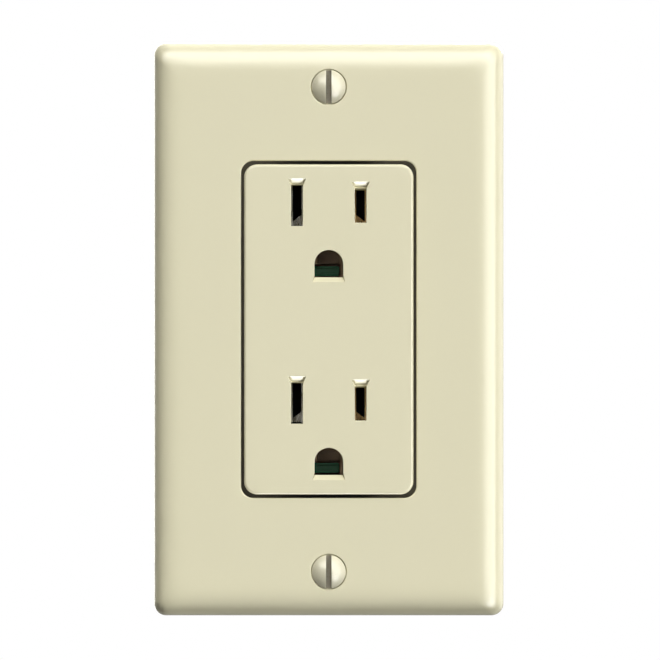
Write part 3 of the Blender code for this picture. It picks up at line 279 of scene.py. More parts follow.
def fibre(name, colour):
    """Vulcanised fibre: mottled, matt and faintly layered."""
    n = Nodes(name, IOR=1.45)
    strands = n.noise(2200.0, 5.0, 0.7, n.stretched((1.0, 3.0, 0.35)))
    share = n.spread(strands, 0.0, 1.0)
    n.set("Base Color", n.mix(share, tone(colour, 0.72), tone(colour, 1.25)))
    n.set("Roughness", n.spread(strands, 0.68, 0.86))
    n.bump((strands, 0.03 * MM))
    return n.material


def phenolic(name, colour, roughness):
    """Glass-filled dark moulding: fibre swirls, a dull grain and paler rubbed edges."""
    n = Nodes(name, IOR=1.5)
    swirl = n.noise(420.0, 5.0, 0.65, n.stretched((1.0, 0.5, 1.6)))
    base = n.mix(n.spread(swirl, 0.0, 1.0), tone(colour, 0.78), tone(colour, 1.3))
    n.set("Base Color", n.mix(n.worn_edges(0.54, 0.64), base, tone(colour, 1.9)))
    n.set("Roughness", n.spread(swirl, roughness - 0.07, roughness + 0.10))
    n.bump((n.noise(3200.0, 3.0, 0.7), 0.014 * MM), (swirl, 0.01 * MM))
    return n.material


IVORY = (0.735, 0.690, 0.478)
# The face's ivory is the plate's ivory painted 7% darker, as painted shade that offsets the
# face_from_below lamp, which lights only the face.
FACE_IVORY_SHADED = tuple(0.93 * c for c in IVORY)
SCREW_IVORY = (0.70, 0.66, 0.48)
# Painted shade for the inside of the plate screws' driver slots.
SCREW_SLOT_SHADE = (0.20, 0.175, 0.11)
ZINC = ((0.62, 0.63, 0.62), 0.34, (0.55, 0.53, 0.42))           # colour, roughness, tarnish
ZINC_SCREW = ((0.66, 0.67, 0.66), 0.28, (0.56, 0.54, 0.44))
BRASS = ((0.78, 0.55, 0.27), 0.27, (0.42, 0.25, 0.12))
# A much darker copy of brass: painted shade for the ground contacts deep inside the ground holes.
SHADED_BRASS = ((0.30, 0.215, 0.15), 0.38, (0.12, 0.085, 0.065))
NICKEL = ((0.66, 0.64, 0.59), 0.25, (0.46, 0.41, 0.33))
MATERIALS = {
    "ivory_plate": moulded("ivory_plate", IVORY, 0.24, 0.0008 * MM, 0.004),
    "ivory_face": moulded("ivory_face", FACE_IVORY_SHADED, 0.25, 0.0010 * MM, 0.004),
    "ivory_screw": enamel("ivory_screw", SCREW_IVORY, 0.30, SCREW_SLOT_SHADE, DRIVER_SLOT),
    "dark_body": phenolic("dark_body", (0.030, 0.028, 0.027), 0.50),
    "zinc_steel": plated("zinc_steel", *ZINC, brushed=(1.0, 1.0, 0.06)),
    "zinc_screw": plated("zinc_screw", *ZINC_SCREW, blotch=0.35),
    "brass": plated("brass", *BRASS, brushed=(1.0, 1.0, 0.08), blotch=0.35),
    "shaded_brass": plated("shaded_brass", *SHADED_BRASS, brushed=(1.0, 1.0, 0.3), blotch=0.6),
    "nickel": plated("nickel", *NICKEL, brushed=(1.0, 1.0, 0.08), blotch=0.35),
    "green_nylon": moulded("green_nylon", (0.018, 0.30, 0.095), 0.42, 0.004 * MM, 0.05),
    "green_screw": lacquered("green_screw", (0.030, 0.24, 0.10), (0.60, 0.60, 0.58), 0.30),
    "fibre": fibre("fibre", (0.40, 0.085, 0.045)),
}


# ---------------------------------------------------------------- mesh tools


def object_from(bm, name):
    """An object that holds a bmesh, with its faces turned outwards."""
    bmesh.ops.recalc_face_normals(bm, faces=bm.faces)
    mesh = bpy.data.meshes.new(name)
    bm.to_mesh(mesh)
    bm.free()
    obj = bpy.data.objects.new(name, mesh)
    bpy.context.scene.collection.objects.link(obj)
    return obj


def block(low, high):
    """A box between two corners."""
    bm = bmesh.new()
    bmesh.ops.create_cube(bm, size=1.0)
    low, high = Vector(low), Vector(high)
    for vert in bm.verts:
        vert.co = low + (vert.co + Vector((0.5, 0.5, 0.5))) * (high - low)
    return object_from(bm, "block")


def ring(half_width, half_height, radius, y, steps=12, x=0.0, z=0.0):
    """Points round a rounded rectangle in the plane of one y."""
    points = []
    for corner, (sx, sz) in enumerate(((1, 1), (-1, 1), (-1, -1), (1, -1))):
        for step in range(steps + 1):
            angle = math.pi / 2 * (corner + step / steps)
            points.append((x + sx * (half_width - radius) + radius * math.cos(angle), y,
                           z + sz * (half_height - radius) + radius * math.sin(angle)))
    return points


def lofted(rings):
    """A solid skinned over rings of equal point counts."""
    bm = bmesh.new()
    loops = [[bm.verts.new(point) for point in points] for points in rings]
    for one, two in zip(loops, loops[1:]):
        for i in range(len(one)):
            j = (i + 1) % len(one)
            bm.faces.new((one[i], one[j], two[j], two[i]))
    bm.faces.new(loops[0])
    bm.faces.new(loops[-1])
    return object_from(bm, "loft")


def stand(bm, seat, outward):
    """Move a shape that was made round the Z axis onto its seat, along its own direction."""
    turn = UP.rotation_difference(Vector(outward)).to_matrix().to_4x4()
    bmesh.ops.transform(bm, matrix=Matrix.Translation(seat) @ turn, verts=bm.verts)


def revolved(profile, seat, outward, steps):
    """A turned solid: (radius, height) pairs down its profile, closed on the axis at both ends."""
    bm = bmesh.new()
    rows = []
    for radius, height in profile:
        if radius < ON_AXIS:
            rows.append([bm.verts.new((0, 0, height))])
        else:
            rows.append([bm.verts.new((radius * math.cos(2 * math.pi * i / steps),
                                       radius * math.sin(2 * math.pi * i / steps), height))
                         for i in range(steps)])
    for one, two in zip(rows, rows[1:]):
        for i in range(steps):
            j = (i + 1) % steps
            if len(one) == 1:
                bm.faces.new((one[0], two[i], two[j]))
            elif len(two) == 1:
                bm.faces.new((one[i], one[j], two[0]))
            else:
                bm.faces.new((one[i], one[j], two[j], two[i]))
    stand(bm, seat, outward)
    return object_from(bm, "turned")


def combine(target, others, operation):
    """Combine an object with other solids, which are used up."""
    for other in others:
        step = target.modifiers.new("step", "BOOLEAN")
        step.operation = operation
        step.solver = "EXACT"
        step.object = other
    settle(target)
    for other in others:
        bpy.data.objects.remove(other, do_unlink=True)


def cut(target, *cutters):
    """Cut solids from an object."""
    combine(target, cutters, "DIFFERENCE")


def join(target, *others):
    """Join solids to an object."""
    combine(target, others, "UNION")


def settle(obj):
    """Turn an object's modifiers into its mesh."""
    bpy.context.view_layer.update()
    graph = bpy.context.evaluated_depsgraph_get()
    mesh = bpy.data.meshes.new_from_object(obj.evaluated_get(graph))
    obj.modifiers.clear()
    obj.data = mesh


def tidy(bm):
    """Merge doubled points, drop faces with no area and merge flat neighbours."""
    bmesh.ops.remove_doubles(bm, verts=bm.verts, dist=MERGE)
    bmesh.ops.dissolve_degenerate(bm, edges=bm.edges, dist=SLIVER)
    bmesh.ops.dissolve_limit(bm, angle_limit=FLAT_ANGLE, verts=bm.verts, edges=bm.edges)


def soften(obj, width, angle, segments, only=None):
    """Round the edges of an object that are sharper than an angle, or only some of them."""
    bm = bmesh.new()
    bm.from_mesh(obj.data)
    tidy(bm)
    sharp = [e for e in bm.edges if e.is_manifold and e.calc_face_angle() > math.radians(angle)
             and (only is None or all(only(v.co) for v in e.verts))]
    bmesh.ops.bevel(bm, geom=sharp, offset=width, offset_type="OFFSET", segments=segments,
                    profile=0.6, affect="EDGES", clamp_overlap=True)
    bm.to_mesh(obj.data)
    bm.free()


def finish_piece(obj, name, slot, body, replaces, material=None, smooth=CREASE):
    """Name, paint and shade a piece, put it on its body and hide the CAD node that it replaces.

    Edges sharper than smooth degrees stay creased. The normals are weighted by area, so that flat
    faces shade evenly beside rounded edges.
    """
    obj.name = name
    obj.data.name = name
    obj.data.materials.clear()
    obj.data.materials.append(MATERIALS[material or slot])
    bm = bmesh.new()
    bm.from_mesh(obj.data)
    bmesh.ops.remove_doubles(bm, verts=bm.verts, dist=SLIVER / 2)
    bmesh.ops.triangulate(bm, faces=[f for f in bm.faces if len(f.verts) > 4])
    bmesh.ops.recalc_face_normals(bm, faces=bm.faces)
    bm.to_mesh(obj.data)
    bm.free()
    obj.data.polygons.foreach_set("material_index", [0] * len(obj.data.polygons))
    obj.data.polygons.foreach_set("use_smooth", [True] * len(obj.data.polygons))
    obj.data.set_sharp_from_angle(angle=math.radians(smooth))
    evened = obj.modifiers.new("evened", "WEIGHTED_NORMAL")
    evened.keep_sharp = True
    settle(obj)
    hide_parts(replaces)
    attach(obj, body)
    return obj


def body_of(node):
    """The CAD body that a node belongs to."""
    return next(b for b, nodes in frame["record"]["behaviour"]["bodies"].items() if node in nodes)


def copy_of(node):
    """A new object with a copy of a CAD node's mesh."""
    bm = bmesh.new()
    bm.from_mesh(frame["nodes"][node].data)
    tidy(bm)
    return object_from(bm, f"copy_{node}")


# ---------------------------------------------------------------- wallplate


def quarter(steps):
    """Pairs of shares (along, across) round a quarter turn."""
    return [(1 - math.cos(math.pi / 2 * i / steps), math.sin(math.pi / 2 * i / steps))
            for i in range(steps + 1)]


def plate_rings(half_size, corners, rounding, depths, steps, first_y, corner_steps):
    """Rings from the plate's back rim up its rounded edge to its flat front."""
    half_width, half_height = half_size
    rings = [ring(half_width, half_height, corners[0], first_y, corner_steps)]
    power = 2 / PLATE_EDGE_POWER
    for share, rise in quarter(steps):
        share, rise = 1 - abs(1 - share) ** power, rise ** power
        inset = rounding * share
        corner = corners[0] + (corners[1] - corners[0]) * share
        y = depths[0] + (depths[1] - depths[0]) * rise
        rings.append(ring(half_width - inset, half_height - inset, corner, y, corner_steps))
    return rings


def flared_window():
    """Cutter for the plate's window, with a small round at the front edge."""
    half_width, half_height, corner = WINDOW
    edge, front = 0.28 * MM, -PLATE_DEPTH
    rings = [ring(half_width + edge, half_height + edge, corner + edge, front - OVER)]
    for share, rise in quarter(5):
        grow = edge * (1 - rise)
        rings.append(ring(half_width + grow, half_height + grow, corner + grow,
                          front + edge * share))
    rings.append(ring(half_width, half_height, corner, 5 * MM))
    return lofted(rings)


def screw_hole(z):
    """Cutter for a countersunk plate-screw hole, with a softened rim."""
    widest, _, narrow, cone = PLATE_SCREW
    slack, edge, land, through = 0.2 * MM, 0.10 * MM, 0.16 * MM, 12 * MM
    profile = [(0, OVER), (widest + slack + edge, OVER)]
    profile += [(widest + slack + edge * (1 - rise), -edge * share) for share, rise in quarter(4)]
    profile += [(widest + slack, -land), (narrow + slack, -cone), (narrow + slack, -through),
                (0, -through)]
    return revolved(profile, (0, -PLATE_DEPTH, z), FORWARD, 72)


def make_wallplate():
    """Wallplate with a smooth rounded edge, a hollow back, screw bosses and stiffening ribs."""
    plate = lofted(plate_rings(PLATE_HALF_SIZE, (PLATE_CORNER, PLATE_SOFT_CORNER), PLATE_ROUNDING,
                               (-PLATE_RIM, -PLATE_DEPTH), 24, 0.0, 14))
    ease = 0.8 * MM
    inner_face = -PLATE_DEPTH + PLATE_WALL
    inner = [half - PLATE_SIDE_WALL for half in PLATE_HALF_SIZE]
    core = plate_rings(inner, (PLATE_CORNER - ease, PLATE_SOFT_CORNER), PLATE_ROUNDING - ease,
                       (-PLATE_RIM + ease, inner_face), 12, OVER, 8)
    cut(plate, lofted(core))
    boss_root, rib_half, rib_top = 0.9 * MM, 0.4 * MM, -2.3 * MM
    boss = [(0, 0), (3.6 * MM, 0), (3.2 * MM, -0.9 * MM), (3.2 * MM, -2.55 * MM),
            (3.05 * MM, -2.7 * MM), (0, -2.7 * MM)]
    ribs = []
    for sign in ENDS.values():
        z = sign * PLATE_SCREW_Z
        ribs.append(revolved(boss, (0, inner_face - boss_root, z), FORWARD, 56))
        for side in (1, -1):
            near, far = sorted((side * 2.2 * MM, side * 31.4 * MM))
            ribs.append(block((near, inner_face - rib_half, z - rib_half),
                              (far, rib_top, z + rib_half)))
        near, far = sorted((sign * 50.6 * MM, sign * 54.0 * MM))
        ribs.append(block((-rib_half, inner_face - rib_half, near), (rib_half, rib_top, far)))
    join(plate, *ribs)
    cut(plate, *[screw_hole(sign * PLATE_SCREW_Z) for sign in ENDS.values()])
    cut(plate, flared_window())
    return finish_piece(plate, "wallplate_shell", "ivory_plate", "wallplate", "wallplate",
                        smooth=SHELL_CREASE)


# ---------------------------------------------------------------- screws


def thread_radius(radius, length, depth, phase):
    """A thread's radius at a depth and a phase of its pitch, from its run-in to its tip."""
    run_in, tip, tip_taper, flank = 0.8 * MM, 0.7 * MM, 0.42, 2.4
    root = radius - THREAD_DEPTH
    above_tip = (length - depth) / tip
    groove = min(1.0, flank * abs(phase - 0.5))
    return min(radius - THREAD_DEPTH * (1 - groove),
               radius - THREAD_DEPTH * max(0.0, 1 - depth / run_in),
               root - tip * tip_taper * max(0.0, 1 - above_tip)
               + THREAD_DEPTH * min(1.0, above_tip))


def threaded(radius, length, seat, outward):
    """A shank with a helical thread: length metres long below the seat, with a pointed end."""
    bm = bmesh.new()
    step_down = PITCH / THREAD_ROWS
    first, last = -THREAD_ROWS - 2, int(length / step_down) + 2
    columns = []
    for j in range(THREAD_STEPS):
        column = {}
        for i in range(first, last + 1):
            depth = min(max((i * step_down) + PITCH * j / THREAD_STEPS, 0.0), length)
            r = thread_radius(radius, length, depth, (i % THREAD_ROWS) / THREAD_ROWS)
            angle = 2 * math.pi * j / THREAD_STEPS
            column[i] = bm.verts.new((r * math.cos(angle), r * math.sin(angle), -depth))
        columns.append(column)
    for j in range(THREAD_STEPS):
        shift = THREAD_ROWS if j == THREAD_STEPS - 1 else 0
        one, two = columns[j], columns[(j + 1) % THREAD_STEPS]
        for i in range(first, last):
            corners = [one.get(i), two.get(i + shift), two.get(i + 1 + shift), one.get(i + 1)]
            if None not in corners:
                bm.faces.new(corners)
    bmesh.ops.remove_doubles(bm, verts=bm.verts, dist=2 * MERGE)
    bmesh.ops.dissolve_degenerate(bm, edges=bm.edges, dist=2 * SLIVER)
    bmesh.ops.delete(bm, geom=[v for v in bm.verts if not v.link_faces], context="VERTS")
    for level in (0.0, -length):
        loop = [v for v in bm.verts if abs(v.co.z - level) < SAME_LEVEL
                and any(e.is_boundary for e in v.link_edges)]
        if len(loop) > 2:
            loop.sort(key=lambda v: math.atan2(v.co.y, v.co.x))
            bm.faces.new(loop)
    stand(bm, seat, outward)
    return object_from(bm, "thread")


def dome(radius, height, steps):
    """(radius, height) pairs down a shallow dome, as far as its rim at height 0."""
    sphere = (radius * radius + height * height) / (2 * height)
    angles = [math.asin(radius / sphere) * i / steps for i in range(steps)]
    return [(sphere * math.sin(angle), sphere * math.cos(angle) - sphere + height)
            for angle in angles]


def driver_slot(seat, outward, top, depth, width, length, across=False):
    """Cutter for one straight driver slot; across turns it by a right angle."""
    seat, outward = Vector(seat), Vector(outward)
    along = outward.cross(UP) if across else UP
    flank = outward.cross(along)
    centre = seat + outward * (top - depth / 2 + OVER)
    half = [along * length / 2, flank * width / 2, outward * (depth / 2 + OVER)]
    reach = Vector([sum(abs(h[i]) for h in half) for i in range(3)])
    return block(centre - reach, centre + reach)


def cut_drive(screw, seat, outward, top, depth, width, cross):
    """Cut a combination drive: a slot right across the head and a shorter one square to it."""
    cut(screw, driver_slot(seat, outward, top, depth, width, ACROSS_HEAD),
        driver_slot(seat, outward, top, depth, width, cross, across=True))


def neck(radius, depth):
    """The end of a screw head's profile: a plain neck at the thread's root, ending at a depth."""
    root = radius - THREAD_DEPTH
    return [(root, 0), (root, -depth), (0, -depth)]


def make_plate_screw(end, sign):
    """Oval-head wallplate screw with a single slot."""
    seat = Vector((0, -PLATE_DEPTH, sign * PLATE_SCREW_Z))
    radius, crown, shank, cone = PLATE_SCREW
    root, neck_top, neck_end = shank - THREAD_DEPTH, -2.6 * MM, -3.4 * MM
    slot_depth, thread = 1.3 * MM, 9.6 * MM
    head = dome(radius, crown, 14)
    head += [(radius, 0.0), (radius - 0.05 * MM, -0.12 * MM), (shank + 0.02 * MM, -cone),
             (root, neck_top), (root, neck_end), (0, neck_end)]
    screw = revolved(head, seat, FORWARD, 80)
    join(screw, threaded(shank, thread, seat + Vector((0, 3.1 * MM, 0)), FORWARD))
    cut(screw, driver_slot(seat, FORWARD, crown, slot_depth, DRIVER_SLOT, ACROSS_HEAD))
    soften(screw, 0.07 * MM, 50, 2,
           lambda co: co.y < -PLATE_DEPTH + 0.2 * MM and abs(co.x) < 0.6 * MM)
    node = f"plate_screw_{end}"
    return finish_piece(screw, f"{node}_body", "ivory_screw", node, node, smooth=REFINED_CREASE)


def make_terminal_screw(side, sign_x, end, sign_z):
    """Washer-head terminal screw with a slot and a cross, and a threaded shank."""
    seat = Vector((sign_x * TERMINAL[0], TERMINAL[1], sign_z * TERMINAL[2]))
    outward = Vector((sign_x, 0, 0))
    top, drum, flange, shank, thread = 2.3 * MM, 3.3 * MM, 4.1 * MM, 2.05 * MM, 5.4 * MM
    profile = [(0, top), (drum - 0.35 * MM, top), (drum - 0.10 * MM, top - 0.10 * MM),
               (drum, top - 0.35 * MM), (drum, 0.78 * MM), (drum + 0.1 * MM, 0.66 * MM),
               (flange - 0.12 * MM, 0.60 * MM), (flange, 0.48 * MM), (flange, 0.1 * MM),
               (flange - 0.1 * MM, 0)] + neck(shank, 1 * MM)
    screw = revolved(profile, seat, outward, 64)
    join(screw, threaded(shank, thread, seat - outward * THREAD_LAP, outward))
    cut_drive(screw, seat, outward, top, 1.4 * MM, 1.1 * MM, 3.8 * MM)
    middle = seat.x + sign_x * 0.8 * MM
    soften(screw, 0.06 * MM, 50, 1, lambda co: (co.x - middle) * sign_x > 0)
    node = f"terminal_screw_{side}_{end}"
    return finish_piece(screw, f"{node}_body", TERMINAL_METALS[side], node, node)


def make_mounting_screw(end, sign):
    """Pan-head device screw with a combination drive and a long threaded shank."""
    seat = Vector((0, MOUNTING_SCREW[0], sign * MOUNTING_SCREW[1]))
    radius, rim, crown, shank, thread = 3.2 * MM, 0.5 * MM, 1.1 * MM, 1.725 * MM, 23.2 * MM
    bevel = 0.08 * MM
    head = [(r, h + rim) for r, h in dome(radius, crown, 10)]
    head += [(radius, rim), (radius, bevel), (radius - bevel, 0)] + neck(shank, 1 * MM)
    screw = revolved(head, seat, FORWARD, 64)
    join(screw, threaded(shank, thread, seat + Vector((0, THREAD_LAP, 0)), FORWARD))
    cut_drive(screw, seat, FORWARD, rim + crown, 1.0 * MM, 0.9 * MM, 3.2 * MM)
    soften(screw, 0.05 * MM, 50, 1, lambda co: co.y < -1.9 * MM)
    node = f"mounting_screw_{end}"
    return finish_piece(screw, f"{node}_body", "zinc_steel", node, node, "zinc_screw")


def make_ground_screw():
    """Green hexagonal washer-head screw with a slot."""
    seat = Vector(GROUND_SCREW)
    outward = Vector((-1, 0, 0))
    top, corner, flange, shank, thread = 2.3 * MM, 3.6 * MM, 4.1 * MM, 2.05 * MM, 5.3 * MM
    washer = [(0, 0.7 * MM), (flange - 0.25 * MM, 0.7 * MM), (flange - 0.05 * MM, 0.6 * MM),
              (flange, 0.45 * MM), (flange, 0.1 * MM), (flange - 0.1 * MM, 0)] + neck(shank, 1 * MM)
    screw = revolved(washer, seat, outward, 64)
    hexagon = revolved([(0, top), (corner, top), (corner, 0.3 * MM), (0, 0.3 * MM)],
                       seat, outward, 6)
    crown = revolved([(0, 2.32 * MM), (3.0 * MM, 2.32 * MM), (3.75 * MM, 1.85 * MM),
                      (3.75 * MM, 0.2 * MM), (0, 0.2 * MM)], seat, outward, 48)
    combine(hexagon, [crown], "INTERSECT")
    join(screw, hexagon, threaded(shank, thread, seat - outward * THREAD_LAP, outward))
    cut(screw, driver_slot(seat, outward, top, 1.2 * MM, 1.1 * MM, ACROSS_HEAD))
    soften(screw, 0.07 * MM, 45, 2, lambda co: co.x < seat.x - 0.75 * MM)
    return finish_piece(screw, "ground_screw_body", "green_screw", "ground_screw", "ground_screw")


def make_assembly_screw(end, sign_z, side, sign_x):
    """Small cross-drive screw in the body's back."""
    seat_y = 24.3 * MM
    seat = Vector((sign_x * ASSEMBLY[0], seat_y, sign_z * ASSEMBLY[1]))
    radius, rim, crown, shank, point = 2.3 * MM, 0.4 * MM, 0.9 * MM, 1.2 * MM, 1.0 * MM
    length = seat_y - FACE_FRONT - FACE_WALL - point
    bevel, slot_depth, slot_width, slot_length = 0.06 * MM, 0.7 * MM, 0.6 * MM, 2.6 * MM
    head = [(r, h + rim) for r, h in dome(radius, crown, 9)]
    head += [(radius, rim), (radius, bevel), (radius - bevel, 0), (shank, 0),
             (shank, -length + point), (0, -length)]
    screw = revolved(head, seat, BACKWARD, 48)
    cut(screw, *[driver_slot(seat, BACKWARD, rim + crown, slot_depth, slot_width, slot_length,
                             across) for across in (False, True)])
    node = f"assembly_screw_{end}_{side}"
    return finish_piece(screw, f"{node}_body", "zinc_steel", body_of(node), node, "zinc_screw")


# ---------------------------------------------------------------- receptacle face


def flared_slot(x, line, height, fall):
    """Cutter for a blade slot with softened edges at the front and a curved ramp at its top."""
    low, top = line - height / 2, line + height / 2
    start, reach = FACE_FRONT + LEAD_IN / 2, RAMP_DEPTH - LEAD_IN / 2
    edge = 0.12 * MM
    levels = [(FACE_FRONT - OVER, edge, 0.0)]
    levels += [(FACE_FRONT + edge * share, edge * (1 - rise), 0.0) for share, rise in quarter(3)]
    levels += [(start + reach * share, 0.0, fall * rise) for share, rise in quarter(8)]
    levels.append((FACE_BACK + OVER, 0.0, fall))
    rings = []
    for y, grow, drop in levels:
        half, ceiling, ground = SLOT_WIDTH / 2 + grow, top + grow - drop, low - grow
        rings.append([(x + half, y, ceiling), (x - half, y, ceiling),
                      (x - half, y, ground), (x + half, y, ground)])
    return lofted(rings)


def wedge(x, wide, slim, edge_z, sign):
    """Cutter for a bevel at a hole's edge: wide at the front, slim where it meets the hole."""
    over = 0.2 * MM
    front, back = FACE_FRONT - over, FACE_FRONT + LEAD_IN
    outer_z, inner_z = edge_z + sign * (LEAD_IN + over), edge_z - sign * LEAD_IN
    bm = bmesh.new()
    for side in (-1, 1):
        bm.verts.new((x + side * wide, front, outer_z))
        bm.verts.new((x + side * slim, back, edge_z))
        bm.verts.new((x + side * slim, front, inner_z))
    bmesh.ops.convex_hull(bm, input=bm.verts)
    return object_from(bm, "wedge")


def arch(radius, pin, flat, y):
    """Points round a ground hole: an arch over a flat side."""
    angles = [math.pi * i / ARCH_STEPS for i in range(ARCH_STEPS + 1)]
    points = [(radius * math.cos(angle), y, pin + radius * math.sin(angle)) for angle in angles]
    return points + [(-radius, y, pin - flat), (radius, y, pin - flat)]


def flared_ground(pin):
    """Cutter for a ground hole with a softened front edge."""
    edge = 0.14 * MM
    levels = [(edge, FACE_FRONT - OVER)]
    levels += [(edge * (1 - rise), FACE_FRONT + edge * share) for share, rise in quarter(3)]
    levels.append((0.0, FACE_BACK + OVER))
    return lofted([arch(GROUND_RADIUS + grow, pin, GROUND_FLAT, y) for grow, y in levels])


def make_face():
    """Receptacle face with softened edges, two outlets and a tower behind each hole."""
    half_width, half_height = FACE_HALF_SIZE
    rings = [ring(half_width, half_height, FACE_CORNER, FACE_BACK)]
    for share, rise in quarter(7):
        inset = FACE_EDGE * share
        rings.append(ring(half_width - inset, half_height - inset, FACE_CORNER - inset,
                          FACE_FRONT + FACE_EDGE * (1 - rise)))
    face = lofted(rings)
    inner = (half_width - FACE_SIDE_WALL, half_height - FACE_SIDE_WALL, FACE_INNER_CORNER)
    cut(face, lofted([ring(*inner, y, 4) for y in (FACE_FRONT + FACE_WALL, 2 * FACE_BACK)]))
    root, back = FACE_FRONT + FACE_WALL / 2, FACE_BACK - 0.3 * MM
    depth, post, bevel = back - root, 2.6 * MM, 0.15 * MM
    post_profile = [(0, 0), (post - bevel, 0), (post, -bevel), (post, -depth), (0, -depth)]
    parts = [revolved(post_profile, (sx * ASSEMBLY[0], back, sz * ASSEMBLY[1]), BACKWARD, 36)
             for sx, sz in CORNERS]
    for line, pin in zip(BLADE_LINES, GROUND_PINS):
        for x, height, _ in BLADES.values():
            wide, tall = SLOT_WIDTH / 2 + TOWER_WALL, height / 2 + TOWER_WALL
            parts.append(block((x - wide, root, line - tall), (x + wide, back, line + tall)))
        parts.append(lofted([arch(GROUND_RADIUS + TOWER_WALL / 2, pin, GROUND_FLAT + TOWER_WALL, y)
                             for y in (root, back)]))
    join(face, *parts)
    tuck, lip = 0.05 * MM, 0.55 * MM
    cutters = []
    for line, pin in zip(BLADE_LINES, GROUND_PINS):
        for x, height, fall in BLADES.values():
            cutters.append(flared_slot(x, line, height, fall))
            cutters.append(wedge(x, LEAD_IN_WIDTH / 2, SLOT_WIDTH / 2 - tuck, line + height / 2, 1))
        cutters.append(flared_ground(pin))
        cutters.append(wedge(0, GROUND_RADIUS + lip, GROUND_RADIUS - tuck, pin - GROUND_FLAT, -1))
    bore, bore_start, through = 1.35 * MM, FACE_FRONT + FACE_WALL + 0.6 * MM, 10 * MM
    bore_profile = [(0, through), (bore, through), (bore, 0), (0, 0)]
    cutters += [revolved(bore_profile, (sx * ASSEMBLY[0], bore_start, sz * ASSEMBLY[1]),
                         BACKWARD, 28) for sx, sz in CORNERS]
    cut(face, *cutters)
    return finish_piece(face, "receptacle_face_shell", "ivory_face", "device", "receptacle_face",
                        smooth=SHELL_CREASE)


# ---------------------------------------------------------------- back body and metal


def make_back_body():
    """Back body with wire entries, release slots and a stripping gauge groove."""
    body = copy_of("back_body")
    entry_x, entry_step, release_x = 14.9 * MM, 3.4 * MM, 11.4 * MM
    funnel = [(0, 0.5 * MM), (2.1 * MM, 0.5 * MM), (1.2 * MM, -0.5 * MM), (0, -0.5 * MM)]
    release = Vector((0.6 * MM, 0, 1.1 * MM))
    release_depth = Vector((0, 1.6 * MM, 0))
    cutters = []
    for sx in (1, -1):
        for z in (sz * TERMINAL[2] + offset for sz in (1, -1)
                  for offset in (-entry_step, entry_step)):
            cutters.append(revolved(funnel, (sx * entry_x, BODY_BACK, z), BACKWARD, 28))
            middle = Vector((sx * release_x, BODY_BACK, z))
            cutters.append(block(middle - release - release_depth,
                                 middle + release + Vector((0, OVER, 0))))
        gauge = ring(0.7 * MM, 7.5 * MM, 0.65 * MM, BODY_BACK - 0.5 * MM, 6,
                     sx * 12.4 * MM, -21.5 * MM * sx)
        cutters.append(lofted([gauge, [(x, BODY_BACK + OVER, z) for x, _, z in gauge]]))
    cut(body, *cutters)
    soften(body, 0.16 * MM, 60, 2)
    return finish_piece(body, "back_body_moulding", "dark_body", "device", "back_body")


def make_refined(node, slot, edge, material=None):
    """A copy of a CAD node with its sharp edges rounded."""
    obj = copy_of(node)
    soften(obj, edge, 50, 2)
    return finish_piece(obj, f"{node}_body", slot, body_of(node), node, material, REFINED_CREASE)


def make_rivet(end, pin):
    """Steel rivet through the strap's spine."""
    radius, crown, shank, length, tail = 2.3 * MM, 1.1 * MM, 1.3 * MM, 9.0 * MM, 0.8 * MM
    profile = dome(radius, crown, 10) + [
        (radius, 0), (shank, 0), (shank, -length), (radius - 0.2 * MM, -length),
        (radius - 0.4 * MM, -length - tail), (0, -length - tail)]
    node = f"ground_rivet_{end}"
    rivet = revolved(profile, (0, SPINE_BACK, pin + RIVET_OFFSET), BACKWARD, 48)
    return finish_piece(rivet, f"{node}_body", "zinc_steel", "device", node, "zinc_screw")


def make_metalwork():
    """Strap, contacts, clamps, washers and clip; returns the green spacers."""
    spacers = []
    make_refined("mounting_strap", "zinc_steel", 0.14 * MM)
    make_refined("hot_contact_bus", "brass", 0.10 * MM)
    make_refined("neutral_contact_bus", "nickel", 0.10 * MM)
    make_refined("grounding_clip", "brass", 0.06 * MM)
    make_refined("ground_clamp", "zinc_steel", 0.10 * MM)
    for (end, sign), pin in zip(ENDS.items(), GROUND_PINS):
        # The ground contacts are brass; the darker copy that they get is painted shade.
        make_refined(f"ground_contact_{end}", "brass", 0.10 * MM, material="shaded_brass")
        spacers.append(make_refined(f"ground_spacer_{end}", "green_nylon", 0.08 * MM))
        make_refined(f"screw_retainer_{end}", "fibre", 0.06 * MM)
        make_rivet(end, pin)
        for side, sign_x in TERMINALS.items():
            make_refined(f"terminal_clamp_{side}_{end}", TERMINAL_METALS[side], 0.10 * MM)
            make_assembly_screw(end, sign, "right" if sign_x > 0 else "left", sign_x)
    return spacers


# ---------------------------------------------------------------- stage


def sun(name, toward, strength, angle, lights="both", only=None, colour=(1, 1, 1)):
    """A soft distant light from a direction, on all pieces or only some.

    It lights matt colour ("colour"), highlights ("gloss") or both.
    """
    data = bpy.data.lights.new(name, "SUN")
    data.energy = strength
    data.angle = math.radians(angle)
    data.color = colour
    lamp = bpy.data.objects.new(name, data)
    lamp.visible_diffuse = lights != "gloss"
    lamp.visible_glossy = lights != "colour"
    bpy.context.scene.collection.objects.link(lamp)
    lamp.rotation_mode = "QUATERNION"
    lamp.rotation_quaternion = Vector(toward).to_track_quat("Z", "Y")
    lamp.location = Vector(toward).normalized() * 2
    if only:
        group = bpy.data.collections.new(f"{name}_receivers")
        for piece in only:
            group.objects.link(piece)
        lamp.light_linking.receiver_collection = group


